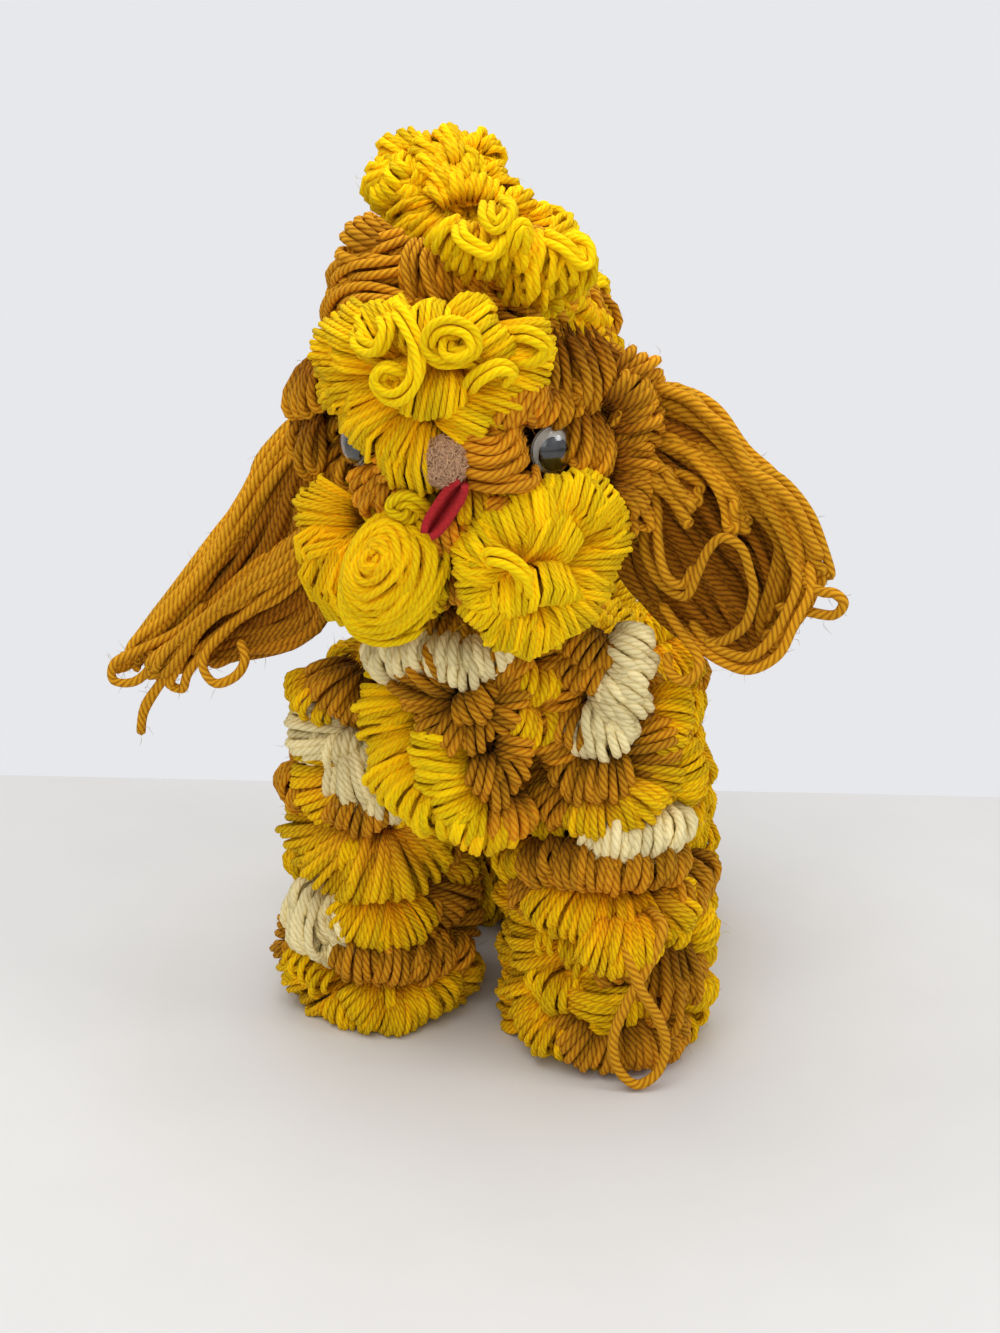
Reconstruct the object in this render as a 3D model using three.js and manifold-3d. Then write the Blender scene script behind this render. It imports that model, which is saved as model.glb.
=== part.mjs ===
// A yarn poodle: a bendable wire armature padded with wadding, wound with strips of gathered
// yarn loops and dressed with tufts, floppy ears of looped yarn, loose-pupil eyes, a nose and a tongue.
// Millimetres, +Z up. The toy faces -Y and its own left side is +X.
import * as THREE from 'three';
import { mergeVertices } from 'three/addons/utils/BufferGeometryUtils.js';
import Module from 'manifold-3d';

const wasm = await Module();
wasm.setup();

// Stock
const YARN = 2.5; // diameter of one strand
const WIRE = 2; // armature wire
const GAP = 0.3; // clearance between pieces that touch
const TURN_GAP = 0.9; // space between neighbouring turns of a wound strip

// Legs
const LEG_CORE_RADIUS = 10;
const FRONT_RUFFLE_DEPTH = 17.2;
const HIND_RUFFLE_DEPTH = 13.2;
const LEG_PITCH = 17;
const LEG_TURNS = 3;
const LEG_CORE_RISE = 17; // padding above the wound part, inside the shoulder or hip
const FRONT_LEG_X = 30;
const HIND_LEG_X = 25.5;
const FRONT_LEG_Y = -14.5;
const STRIDE = 8; // the left front leg stands ahead of the right one
const HIND_LEG_Y = 40;

// Body
const BODY_CORE_RADIUS = 17.5;
const BODY_CORE_FRONT = -38;
const BODY_CORE_BACK = 56;
const BODY_RUFFLE_DEPTH = 13;
const BODY_PITCH = 15;
const BODY_TURNS = 4;
const BODY_STRIP_BACK = 53;
const HAUNCH_RADII = new THREE.Vector3(21, 24, 25); // shoulder and hip tufts
const HAUNCH_OUT = 2; // further out than the leg
const HAUNCH_TAPER = 0.35; // share of its width that a haunch loses from its middle to its top
const CHEST_RADII = new THREE.Vector3(23, 16, 16);
const CHEST_FORWARD = 17; // front of the chest tufts ahead of the wadding
const RUMP_RADII = new THREE.Vector3(20, 10, 21);
const RUMP_BACK = 2; // centre of the rump tuft behind the wadding

// Neck
const NECK_Y = -25;
const NECK_CORE_RADIUS = 11;
const NECK_RUFFLE_DEPTH = 12;
const NECK_HEIGHT = 15;
const NECK_OPENING = 0.08; // share of a turn left open where the strip's ends meet

// Head
const HEAD_Y = -32;
const HEAD_CORE_RADII = new THREE.Vector3(19.5, 19.5, 36);
const HEAD_RUFFLE_DEPTH = 13;
const HEAD_PITCH = 16.5;
const HEAD_TURNS = 4;
const HEAD_STRIP_RISE = 9; // middle of the lowest turn above the foot of the wadding

// Tufts of the head: centres from the head's axis and middle height
const TOPKNOT_TOP = { at: new THREE.Vector3(-9, -1, 43.5), radii: new THREE.Vector3(16.5, 21, 16.5) };
const TOPKNOT_FALL = { at: new THREE.Vector3(12, -12, 35.5), radii: new THREE.Vector3(15, 22, 12.5) };
const CREST = { at: new THREE.Vector3(19, 19, 16), radii: new THREE.Vector3(14, 14, 22) };
const BROW = { at: new THREE.Vector3(-5, -33, 14), radii: new THREE.Vector3(25, 13, 14) };
const MUZZLE = { at: new THREE.Vector3(1, -31, -7), radii: new THREE.Vector3(15, 11, 12) };
const LEFT_CHEEK = { at: new THREE.Vector3(20, -30, -25), radii: new THREE.Vector3(16.5, 12.5, 16) };
const RIGHT_CHEEK = { at: new THREE.Vector3(-17, -31, -27), radii: new THREE.Vector3(15.5, 12.5, 17) };

// Eyes
const EYE_RADIUS = 5;
const EYE_BACK = 0.8;
const EYE_HEIGHT = 3;
const EYE_WALL = 0.5;
const EYE_AZIMUTH = 0.76; // each side of straight ahead, in radians
const EYE_SINK = 3; // how deep the eye is bedded into the strip
const EYE_DROP = 2.5; // below the middle of the head
const PUPIL_RADIUS = 3.2;
const PUPIL_THICKNESS = 0.6;

// Nose and tongue
const NOSE_RADII = new THREE.Vector3(4.3, 3.8, 4.6);
const TONGUE_WIDTH = 6;
const TONGUE_LENGTH = 13;
const FELT = 1.2;
const FOLD = 30; // half the angle between the tongue's leaves, in degrees

// Ears
const EAR_COLUMNS = 4;
const EAR_LAYERS = 4;
const LEFT_EAR = { side: 1, length: 51, tipWidth: 36, droop: 0.8 }; // droop in radians below the horizon
const RIGHT_EAR = { side: -1, length: 67, tipWidth: 28, droop: 1 };
const EAR_TIP_DEPTH = 16;
const EAR_SAG = 4;
const EAR_DROP = 2; // root below the middle of the head
const EAR_FORWARD = 2; // ahead of the head's axis
const EAR_STANDOFF = 4; // from the head strip to the middle of the tied root
const EAR_TIE_TURNS = 2;

// Tail
const TAIL_LENGTH = 20;
const TAIL_LEAN = 0.5; // backwards from upright, in radians
const TAIL_TUFT_RADIUS = 14;

// Places that follow from the sizes
const legHeight = LEG_TURNS * LEG_PITCH;
const bodyRadius = BODY_CORE_RADIUS + GAP + BODY_RUFFLE_DEPTH;
const bodyZ = legHeight + GAP + bodyRadius;
const neckBase = bodyZ + BODY_CORE_RADIUS + GAP;
const headBase = neckBase + NECK_HEIGHT + 2 * GAP;
const headMiddle = headBase + HEAD_CORE_RADII.z;
const headRadius = HEAD_CORE_RADII.x + GAP + HEAD_RUFFLE_DEPTH;
const chestZ = bodyZ + 1;
const rumpY = BODY_CORE_BACK + RUMP_BACK;
const tailRoot = new THREE.Vector3(0, rumpY + 0.8 * RUMP_RADII.y, bodyZ + 0.66 * RUMP_RADII.z);

// A head tuft's place in the toy's frame
function inHead({ at, radii }) {
  return { at: at.clone().add(new THREE.Vector3(0, HEAD_Y, headMiddle)), radii };
}

const materials = {
  mustard: new THREE.MeshStandardMaterial({ color: 0xb5790f, roughness: 0.95, metalness: 0 }),
  yellow: new THREE.MeshStandardMaterial({ color: 0xe8bf08, roughness: 0.95, metalness: 0 }),
  variegated: new THREE.MeshStandardMaterial({ color: 0xcf9a12, roughness: 0.95, metalness: 0 }),
  wadding: new THREE.MeshStandardMaterial({ color: 0x8a5a12, roughness: 1, metalness: 0 }),
  tan: new THREE.MeshStandardMaterial({ color: 0xb08a5c, roughness: 1, metalness: 0 }),
  red: new THREE.MeshStandardMaterial({ color: 0xa51420, roughness: 0.9, metalness: 0 }),
  white: new THREE.MeshStandardMaterial({ color: 0xe9e7e0, roughness: 0.4, metalness: 0 }),
  clear: new THREE.MeshStandardMaterial({ color: 0xf4f8f8, roughness: 0.05, metalness: 0 }),
  black: new THREE.MeshStandardMaterial({ color: 0x0b0b0c, roughness: 0.3, metalness: 0 }),
  steel: new THREE.MeshStandardMaterial({ color: 0x8d9094, roughness: 0.4, metalness: 1 }),
};

// Solids

function solidOf(geometry) {
  const bare = new THREE.BufferGeometry();
  bare.setAttribute('position', geometry.getAttribute('position'));
  bare.setIndex(geometry.getIndex());
  const merged = mergeVertices(bare, 1e-4);
  const mesh = new wasm.Mesh({
    numProp: 3,
    vertProperties: new Float32Array(merged.attributes.position.array),
    triVerts: new Uint32Array(merged.index.array),
  });
  return new wasm.Manifold(mesh);
}

function geometryOf(solid) {
  const mesh = solid.getMesh();
  const geometry = new THREE.BufferGeometry();
  geometry.setAttribute('position', new THREE.BufferAttribute(mesh.vertProperties, 3));
  geometry.setIndex(new THREE.BufferAttribute(mesh.triVerts, 1));
  geometry.computeVertexNormals();
  return geometry;
}

const cut = (solid, ...tools) => tools.reduce((left, tool) => left.subtract(tool), solid);

// Skins a row of rings, each turning the right-handed way round the path, and closes both ends.
function skin(rings) {
  const sides = rings[0].length;
  const points = rings.flat();
  const index = [];
  for (let i = 0; i < rings.length - 1; i++) {
    for (let j = 0; j < sides; j++) {
      const a = i * sides + j;
      const b = i * sides + ((j + 1) % sides);
      index.push(a, b, a + sides, b, b + sides, a + sides);
    }
  }
  const lastRing = (rings.length - 1) * sides;
  for (let j = 1; j < sides - 1; j++) {
    index.push(0, j + 1, j);
    index.push(lastRing, lastRing + j, lastRing + j + 1);
  }
  const geometry = new THREE.BufferGeometry().setFromPoints(points);
  geometry.setIndex(index);
  return geometry;
}

// Rings of a round tube along given points, carried along without twist.
function tubeRings(points, radius, sides) {
  const rings = [];
  let across = new THREE.Vector3();
  points.forEach((point, i) => {
    const before = points[Math.max(i - 1, 0)];
    const after = points[Math.min(i + 1, points.length - 1)];
    const along = after.clone().sub(before).normalize();
    if (i === 0) {
      const helper = Math.abs(along.z) < 0.9 ? new THREE.Vector3(0, 0, 1) : new THREE.Vector3(1, 0, 0);
      across.crossVectors(helper, along);
    }
    across.addScaledVector(along, -across.dot(along)).normalize();
    const upward = new THREE.Vector3().crossVectors(along, across);
    const ring = [];
    for (let k = 0; k < sides; k++) {
      const angle = (k / sides) * 2 * Math.PI;
      ring.push(
        point
          .clone()
          .addScaledVector(across, radius * Math.cos(angle))
          .addScaledVector(upward, radius * Math.sin(angle)),
      );
    }
    rings.push(ring);
  });
  return rings;
}

// Least gap between stretches of one tube that lie further apart along it than `apart` rings.
function leastGap(rings, apart) {
  let least = Infinity;
  rings.forEach((ring, i) => {
    for (let j = i + apart; j < rings.length; j++) {
      for (const a of ring) {
        for (const b of rings[j]) least = Math.min(least, a.distanceTo(b));
      }
    }
  });
  return least;
}

function wireAlong(points, radius) {
  const curve = new THREE.CatmullRomCurve3(points, false, 'centripetal');
  const circle = new THREE.Shape().absarc(0, 0, radius, 0, 2 * Math.PI);
  const steps = points.length * 2;
  const settings = { steps, curveSegments: 4, extrudePath: curve, bevelEnabled: false };
  return solidOf(new THREE.ExtrudeGeometry(circle, settings));
}

function cylinder(radius, length, sides = 24) {
  return solidOf(new THREE.CylinderGeometry(radius, radius, length, sides).rotateX(Math.PI / 2));
}

// A tuft of yarn: a swollen form with lobes where the loops are tied between.
// A fullness under 1 fills its corners, and a taper draws it in towards its top.
function tuft({ at, radii, lobes = 5, lobeDepth = 0.1, fullness = 1, taper = 0, grow = 0 }) {
  const geometry = new THREE.SphereGeometry(1, 12, 8).rotateX(Math.PI / 2);
  const position = geometry.getAttribute('position');
  const point = new THREE.Vector3();
  for (let i = 0; i < position.count; i++) {
    point.fromBufferAttribute(position, i);
    const round = Math.atan2(point.y, point.x);
    const flat = Math.hypot(point.x, point.y);
    const swell = 1 - lobeDepth * flat * (0.5 - 0.5 * Math.cos(lobes * round));
    const reach = radii.clone().addScalar(grow);
    point.set(...point.toArray().map((c) => Math.sign(c) * Math.abs(c) ** fullness));
    const narrow = 1 - taper * Math.max(point.z, 0);
    point.multiplyScalar(swell).multiply(new THREE.Vector3(narrow, narrow, 1)).multiply(reach).add(at);
    position.setXYZ(i, point.x, point.y, point.z);
  }
  return solidOf(geometry);
}

// Wound strips

const STRIP_SIDES = 6;
const STRIP_STEPS = 16; // along each turn
const PUFFS_PER_TURN = 4; // the strip is tied between its puffs
const TIE_DEPTH = 0.2; // share of the depth that a tie draws in
const CLIMB = 0.25; // share of a turn in which the strip climbs to the next tier
const SEAM = 135; // a strip's ends and climbs face backwards, in degrees
const NECK_SEAM = 225;
const HEAD_SEAM = 45;
const STRIP_TAPER = 0.12; // share of a turn in which each end narrows

// Height, in pitches, of a strip that lies level and then climbs to its next tier.
function tierHeight(turn) {
  const whole = Math.floor(turn);
  const climbing = THREE.MathUtils.clamp((turn - whole - (1 - CLIMB)) / CLIMB, 0, 1);
  return whole + THREE.MathUtils.smoothstep(climbing, 0, 1);
}

// One unbroken ruffle round the Z axis. coreRadius gives the wadding's radius at a height.
function woundStrip({ name, turns, pitch, depth, coreRadius }) {
  const level = turns < 1;
  const steps = Math.round(turns * STRIP_STEPS);
  const halfHeight = (pitch - TURN_GAP) / 2 / Math.sin(Math.PI / 3);
  const rings = [];
  for (let i = 0; i <= steps; i++) {
    const turn = (i / steps) * turns;
    const height = ((level ? 0 : tierHeight(turn)) + 0.5) * pitch;
    const tied = TIE_DEPTH * (0.5 + 0.5 * Math.cos(2 * Math.PI * PUFFS_PER_TURN * turn));
    const ending = Math.min(1, 0.5 + (0.5 * Math.min(turn, turns - turn)) / STRIP_TAPER);
    const halfDepth = (depth / 2) * (1 - tied) * ending;
    const middle = coreRadius(height) + GAP + halfDepth;
    const angle = 2 * Math.PI * turn;
    const outward = new THREE.Vector3(Math.cos(angle), Math.sin(angle), 0);
    const ring = [];
    for (let k = 0; k < STRIP_SIDES; k++) {
      const round = (k / STRIP_SIDES) * 2 * Math.PI;
      const radius = middle + halfDepth * Math.cos(round);
      ring.push(outward.clone().multiplyScalar(radius).setZ(height - halfHeight * Math.sin(round)));
    }
    rings.push(ring);
  }
  if (!level) console.log(`${name}: least gap ${leastGap(rings, STRIP_STEPS / 2).toFixed(2)} mm`);
  return solidOf(skin(rings));
}

// Armature

const bodyPlaces = {
  front_left: new THREE.Vector3(FRONT_LEG_X, FRONT_LEG_Y - STRIDE, 0),
  front_right: new THREE.Vector3(-FRONT_LEG_X, FRONT_LEG_Y, 0),
  hind_left: new THREE.Vector3(HIND_LEG_X, HIND_LEG_Y, 0),
  hind_right: new THREE.Vector3(-HIND_LEG_X, HIND_LEG_Y, 0),
};
const ruffleDepth = (foot) => (foot.y > 0 ? HIND_RUFFLE_DEPTH : FRONT_RUFFLE_DEPTH);

function legWire(foot, grow = 0) {
  const side = Math.sign(foot.x);
  const besideSpine = side * (WIRE + GAP);
  const bendZ = legHeight + GAP;
  const points = [
    new THREE.Vector3(foot.x, foot.y, WIRE),
    new THREE.Vector3(foot.x, foot.y, bendZ * 0.6),
    new THREE.Vector3(foot.x, foot.y, bendZ),
    new THREE.Vector3((foot.x + besideSpine) / 2, foot.y, (bendZ + bodyZ) / 2 + WIRE),
    new THREE.Vector3(besideSpine, foot.y, bodyZ),
  ];
  return wireAlong(points, WIRE / 2 + grow);
}

function spineWire(grow = 0) {
  const bend = 8;
  const points = [
    tailRoot.clone(),
    new THREE.Vector3(0, BODY_CORE_BACK, bodyZ + bend / 2),
    new THREE.Vector3(0, BODY_CORE_BACK - 2 * bend, bodyZ),
    new THREE.Vector3(0, 0, bodyZ),
    new THREE.Vector3(0, NECK_Y + bend, bodyZ),
    new THREE.Vector3(0, NECK_Y, bodyZ + bend),
    new THREE.Vector3(0, NECK_Y, headBase),
    new THREE.Vector3(0, NECK_Y, headMiddle - bend),
  ];
  return wireAlong(points, WIRE / 2 + grow);
}

const spineSlot = spineWire(GAP);
const feet = Object.values(bodyPlaces);
const legWireSlots = feet.map((foot) => legWire(foot, GAP));

// Wadding

// A roll of wadding along Y with both ends rounded.
function bodyCore(grow = 0) {
  const radius = BODY_CORE_RADIUS + grow;
  const rounding = 0.6 * radius;
  const front = BODY_CORE_FRONT - grow;
  const back = BODY_CORE_BACK + grow;
  const profile = [];
  for (let i = 0; i <= 4; i++) {
    const angle = (i / 4) * (Math.PI / 2);
    profile.push(new THREE.Vector2(radius * Math.sin(angle), front + rounding * (1 - Math.cos(angle))));
  }
  for (let i = 4; i >= 0; i--) {
    const angle = (i / 4) * (Math.PI / 2);
    profile.push(new THREE.Vector2(radius * Math.sin(angle), back - rounding * (1 - Math.cos(angle))));
  }
  return solidOf(new THREE.LatheGeometry(profile, 16)).translate([0, 0, bodyZ]);
}

const bodyStripMiddle = BODY_STRIP_BACK - (BODY_TURNS * BODY_PITCH) / 2;

// The round space that the wound body strip takes up.
function bodyEnvelope(grow = 0) {
  const length = BODY_TURNS * BODY_PITCH + 2 * grow;
  return cylinder(bodyRadius + grow, length).rotate([90, 0, 0]).translate([0, bodyStripMiddle, bodyZ]);
}

function legCore(foot, grow = 0) {
  const height = legHeight + LEG_CORE_RISE + grow;
  return cylinder(LEG_CORE_RADIUS + grow, height, 16).translate([foot.x, foot.y, height / 2]);
}

function legEnvelope(foot, grow = 0) {
  const radius = LEG_CORE_RADIUS + GAP + ruffleDepth(foot) + grow;
  const height = legHeight + grow;
  return cylinder(radius, height).translate([foot.x, foot.y, height / 2]);
}

function neckCore(grow = 0) {
  const height = headBase - GAP - bodyZ + grow;
  return cylinder(NECK_CORE_RADIUS + grow, height, 16).translate([0, NECK_Y, bodyZ + height / 2]);
}

function neckEnvelope(grow = 0) {
  const radius = NECK_CORE_RADIUS + GAP + NECK_RUFFLE_DEPTH + grow;
  const height = NECK_HEIGHT + 2 * grow;
  return cylinder(radius, height).translate([0, NECK_Y, neckBase + NECK_HEIGHT / 2]);
}

function headCore(grow = 0) {
  const reach = HEAD_CORE_RADII.clone().addScalar(grow);
  const ball = new THREE.SphereGeometry(1, 16, 10).rotateX(Math.PI / 2);
  return solidOf(ball.scale(reach.x, reach.y, reach.z)).translate([0, HEAD_Y, headMiddle]);
}

// Radius of the head's wadding at a height above its foot.
function headCoreRadius(height) {
  const share = THREE.MathUtils.clamp(height / HEAD_CORE_RADII.z - 1, -1, 1);
  return HEAD_CORE_RADII.x * Math.sqrt(1 - share * share);
}

// The wadding's widest radius under a strip whose middle lies at a height.
function widestHeadCore(height) {
  return Math.max(...[-0.4, 0, 0.4].map((share) => headCoreRadius(height + share * HEAD_PITCH)));
}

// The space that the wound head strip takes up.
function headEnvelope(grow = 0) {
  const foot = HEAD_STRIP_RISE - HEAD_PITCH / 2 - grow;
  const top = HEAD_STRIP_RISE + (HEAD_TURNS - 0.5) * HEAD_PITCH + grow;
  const profile = [new THREE.Vector2(0, foot)];
  const rows = 10;
  for (let i = 0; i <= rows; i++) {
    const height = THREE.MathUtils.lerp(foot, top, i / rows);
    profile.push(new THREE.Vector2(widestHeadCore(height) + GAP + HEAD_RUFFLE_DEPTH + grow, height));
  }
  profile.push(new THREE.Vector2(0, top));
  const turned = new THREE.LatheGeometry(profile, 24).rotateX(Math.PI / 2);
  return solidOf(turned).translate([0, HEAD_Y, headBase]);
}

// Shoulders, hips, chest and rump

const tuftAt = ({ at, radii }, grow = 0) => tuft({ at, radii, grow });

function haunch(foot, grow = 0) {
  const out = foot.x + Math.sign(foot.x) * HAUNCH_OUT;
  const at = new THREE.Vector3(out, foot.y, legHeight + 0.9 * HAUNCH_RADII.z);
  return tuft({ at, radii: HAUNCH_RADII, lobes: 6, fullness: 0.75, taper: HAUNCH_TAPER, grow });
}

const chestY = BODY_CORE_FRONT - CHEST_FORWARD + CHEST_RADII.y;
const chestAside = 0.09 * CHEST_RADII.x;
const rosetteZ = chestZ + 0.38 * CHEST_RADII.z;
const chestTuftZ = chestZ - 0.88 * CHEST_RADII.z;
const chestRosette = { at: new THREE.Vector3(chestAside, chestY, rosetteZ), radii: CHEST_RADII };
const chestTuft = { at: new THREE.Vector3(-chestAside, chestY, chestTuftZ), radii: CHEST_RADII };
const rump = { at: new THREE.Vector3(0, rumpY, bodyZ), radii: RUMP_RADII };

// Eyes, nose and tongue

// Frame of an eye: its Z axis points out of the head and its Y axis up.
function eyeFrame(side) {
  const outward = new THREE.Vector3(side * Math.sin(EYE_AZIMUTH), -Math.cos(EYE_AZIMUTH), 0);
  const upward = new THREE.Vector3(0, 0, 1);
  const across = new THREE.Vector3().crossVectors(upward, outward);
  const seat = new THREE.Vector3(0, HEAD_Y, headMiddle - EYE_DROP);
  seat.addScaledVector(outward, headRadius - EYE_SINK);
  return new THREE.Matrix4().makeBasis(across, upward, outward).setPosition(seat);
}

const placed = (solid, matrix) => solid.transform(matrix.elements);

// The way out through the tufts round an eye.
function eyeEnvelope(side, grow = 0) {
  const length = 4 * EYE_RADIUS + 2 * grow;
  const pocket = cylinder(EYE_RADIUS + grow, length, 24).translate([0, 0, length / 2 - grow]);
  return placed(pocket, eyeFrame(side));
}

function eyeBack(side) {
  const disc = cylinder(EYE_RADIUS, EYE_BACK, 24).translate([0, 0, EYE_BACK / 2]);
  return placed(disc, eyeFrame(side));
}

const DOME_SIDES = 20;
const domeBase = EYE_BACK + GAP / 2;
const chamberRadius = EYE_RADIUS - EYE_WALL;
const chamberHeight = EYE_HEIGHT - EYE_WALL;

function eyeDome(side) {
  const rows = 4;
  const profile = [];
  for (let i = rows; i >= 0; i--) {
    const angle = (i / rows) * (Math.PI / 2);
    profile.push(new THREE.Vector2(chamberRadius * Math.cos(angle), chamberHeight * Math.sin(angle)));
  }
  for (let i = 0; i <= rows; i++) {
    const angle = (i / rows) * (Math.PI / 2);
    profile.push(new THREE.Vector2(EYE_RADIUS * Math.cos(angle), EYE_HEIGHT * Math.sin(angle)));
  }
  profile[0].x = 0;
  profile.at(-1).x = 0;
  const shell = solidOf(new THREE.LatheGeometry(profile, DOME_SIDES).rotateX(Math.PI / 2));
  return placed(shell.translate([0, 0, domeBase]), eyeFrame(side));
}

// The loose pupil lies low in its chamber and keeps clear of the dome as it rolls round.
function pupil(side) {
  const top = GAP / 2 + PUPIL_THICKNESS;
  const roomThere = chamberRadius * Math.cos(Math.asin(top / chamberHeight));
  const offset = roomThere * Math.cos(Math.PI / DOME_SIDES) - PUPIL_RADIUS - GAP;
  const disc = cylinder(PUPIL_RADIUS, PUPIL_THICKNESS, 24);
  const height = domeBase + GAP / 2 + PUPIL_THICKNESS / 2;
  return placed(disc.translate([0, -offset, height]), eyeFrame(side));
}

const muzzle = inHead(MUZZLE);
const nose = {
  at: muzzle.at.clone().add(MUZZLE.radii.clone().multiply(new THREE.Vector3(0.13, -0.92, 0.4))),
  radii: NOSE_RADII,
};

const noseBall = (grow = 0) => tuft({ ...nose, lobeDepth: 0, grow });

// A felt square folded along a crease that slants down to the toy's right, its leaves opening forwards.
function tongue(grow = 0) {
  const along = new THREE.Vector3(-0.55, 0, -0.83).normalize();
  const forward = new THREE.Vector3(0.12, -1, 0).normalize();
  const aside = new THREE.Vector3().crossVectors(along, forward);
  const crease = muzzle.at.clone().add(MUZZLE.radii.clone().multiply(new THREE.Vector3(0.1, -0.72, -0.35)));
  const matrix = new THREE.Matrix4().makeBasis(along, forward, aside).setPosition(crease);
  const leaves = [-1, 1].map((side) => {
    const size = [TONGUE_LENGTH + 2 * grow, TONGUE_WIDTH + 2 * grow, FELT + 2 * grow];
    const leaf = solidOf(new THREE.BoxGeometry(...size));
    return leaf.translate([0, TONGUE_WIDTH / 2, 0]).rotate([side * FOLD, 0, 0]);
  });
  return placed(leaves[0].add(leaves[1]), matrix);
}

// Ears

const earSpacing = YARN + 0.5;
const tieLength = EAR_TIE_TURNS * earSpacing;
const tieMiddle = YARN / 2 + tieLength / 2; // from the hank's root
const tieReach = 1.07 * (((EAR_COLUMNS - 1) / 2) * earSpacing + YARN + GAP);
const earRootX = headRadius + EAR_STANDOFF;
const earRoot = (side) => new THREE.Vector3(side * earRootX, HEAD_Y - EAR_FORWARD, headMiddle - EAR_DROP);

// The room in the head strip in which an ear's tied root turns.
function earPocket(side) {
  const radius = Math.hypot(tieLength / 2, tieReach) + YARN / 2 + GAP;
  const pocket = cylinder(radius, 2 * (tieReach + YARN / 2 + GAP)).rotate([90, 0, 0]);
  return pocket.translate(earRoot(side).toArray());
}

// A place in a hank, by how far along, across and through it lies.
function inEar({ side, length, droop }, along, across, through) {
  const outward = new THREE.Vector3(side * Math.cos(droop), 0, -Math.sin(droop));
  const upward = new THREE.Vector3(side * Math.sin(droop), 0, Math.cos(droop));
  const share = Math.max(along / length, 0);
  const point = earRoot(side).addScaledVector(outward, along - tieMiddle).addScaledVector(upward, across);
  return point.add(new THREE.Vector3(0, through, -EAR_SAG * share * share));
}

// One unbroken strand laid to and fro: it is packed at the root and spreads into loops at the tip.
function earHank(ear, name) {
  const runs = EAR_COLUMNS * EAR_LAYERS;
  const rootLength = tieLength + 2 * YARN;
  const columnOf = (run) => {
    const inLayer = run % EAR_COLUMNS;
    return Math.floor(run / EAR_COLUMNS) % 2 === 0 ? inLayer : EAR_COLUMNS - 1 - inLayer;
  };
  const layerOf = (run) => Math.floor(run / EAR_COLUMNS);
  const lengthOf = (run) => ear.length * (0.86 + 0.14 * Math.sin(2.4 * Math.floor(run / 2)));
  const placeOf = (run, along) => {
    const spread = THREE.MathUtils.smoothstep(along, rootLength, ear.length);
    const columnStep = THREE.MathUtils.lerp(earSpacing, ear.tipWidth / (EAR_COLUMNS - 1), spread);
    const layerStep = THREE.MathUtils.lerp(earSpacing, EAR_TIP_DEPTH / (EAR_LAYERS - 1), spread);
    const across = (columnOf(run) - (EAR_COLUMNS - 1) / 2) * columnStep;
    const through = (layerOf(run) - (EAR_LAYERS - 1) / 2) * layerStep;
    return new THREE.Vector3(along, across, through);
  };
  const line = [];
  const rows = 5;
  for (let run = 0; run < runs; run++) {
    const downward = run % 2 === 0;
    for (let i = 0; i <= rows; i++) {
      const along = ((downward ? i : rows - i) / rows) * lengthOf(run);
      line.push(placeOf(run, along));
    }
    if (run === runs - 1) break;
    const from = line.at(-1);
    const to = placeOf(run + 1, from.x);
    const middle = from.clone().add(to).multiplyScalar(0.5);
    const half = from.clone().sub(middle);
    for (const angle of [Math.PI / 4, Math.PI / 2, (3 * Math.PI) / 4]) {
      const bend = middle.clone().addScaledVector(half, Math.cos(angle));
      bend.x += (downward ? 1 : -1) * half.length() * Math.sin(angle);
      line.push(bend);
    }
  }
  const path = line.map((place) => inEar(ear, place.x, place.y, place.z));
  const rings = tubeRings(path, YARN / 2, 5);
  console.log(`${name}: least gap ${leastGap(rings, 5).toFixed(2)} mm`);
  return solidOf(skin(rings));
}

// A strand tied round the root of the hank.
function earTie(ear, name) {
  const stepsPerTurn = 14;
  const steps = EAR_TIE_TURNS * stepsPerTurn - 1;
  const path = [];
  for (let i = 0; i <= steps; i++) {
    const angle = (i / stepsPerTurn) * 2 * Math.PI;
    const square = Math.pow(Math.cos(angle) ** 4 + Math.sin(angle) ** 4, -0.25);
    const along = YARN / 2 + (i / stepsPerTurn) * earSpacing;
    const reach = tieReach * square;
    path.push(inEar(ear, along, reach * Math.cos(angle), reach * Math.sin(angle)));
  }
  const rings = tubeRings(path, YARN / 2, 5);
  console.log(`${name}: least gap ${leastGap(rings, stepsPerTurn / 2).toFixed(2)} mm`);
  return solidOf(skin(rings));
}

// Tail

const tailDirection = new THREE.Vector3(0, Math.sin(TAIL_LEAN), Math.cos(TAIL_LEAN));

function tailWire(grow = 0) {
  const from = tailRoot.clone().addScaledVector(tailDirection, GAP);
  const to = tailRoot.clone().addScaledVector(tailDirection, TAIL_LENGTH);
  const points = [from, from.clone().lerp(to, 0.5), to];
  return wireAlong(points, WIRE / 2 + grow);
}

// Turn round the foot in radians, clearance to the strip and height of the loose strand.
const LOOP_ROUTE = [
  [0.57, -7, 42],
  [0.56, -1, 41],
  [0.45, 0.3, 33],
  [0.3, 0.4, 24],
  [0.2, 0.5, 14],
  [0.24, 0.8, 6],
  [0.39, 1.3, 1.8],
  [0.55, 2, 5],
  [0.59, 2.7, 12],
  [0.51, 3.3, 19.5],
  [0.39, 3.9, 26.5],
  [0.31, 3, 33],
  [0.25, -1, 37.5],
  [0.23, -7, 38.5],
];

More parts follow.
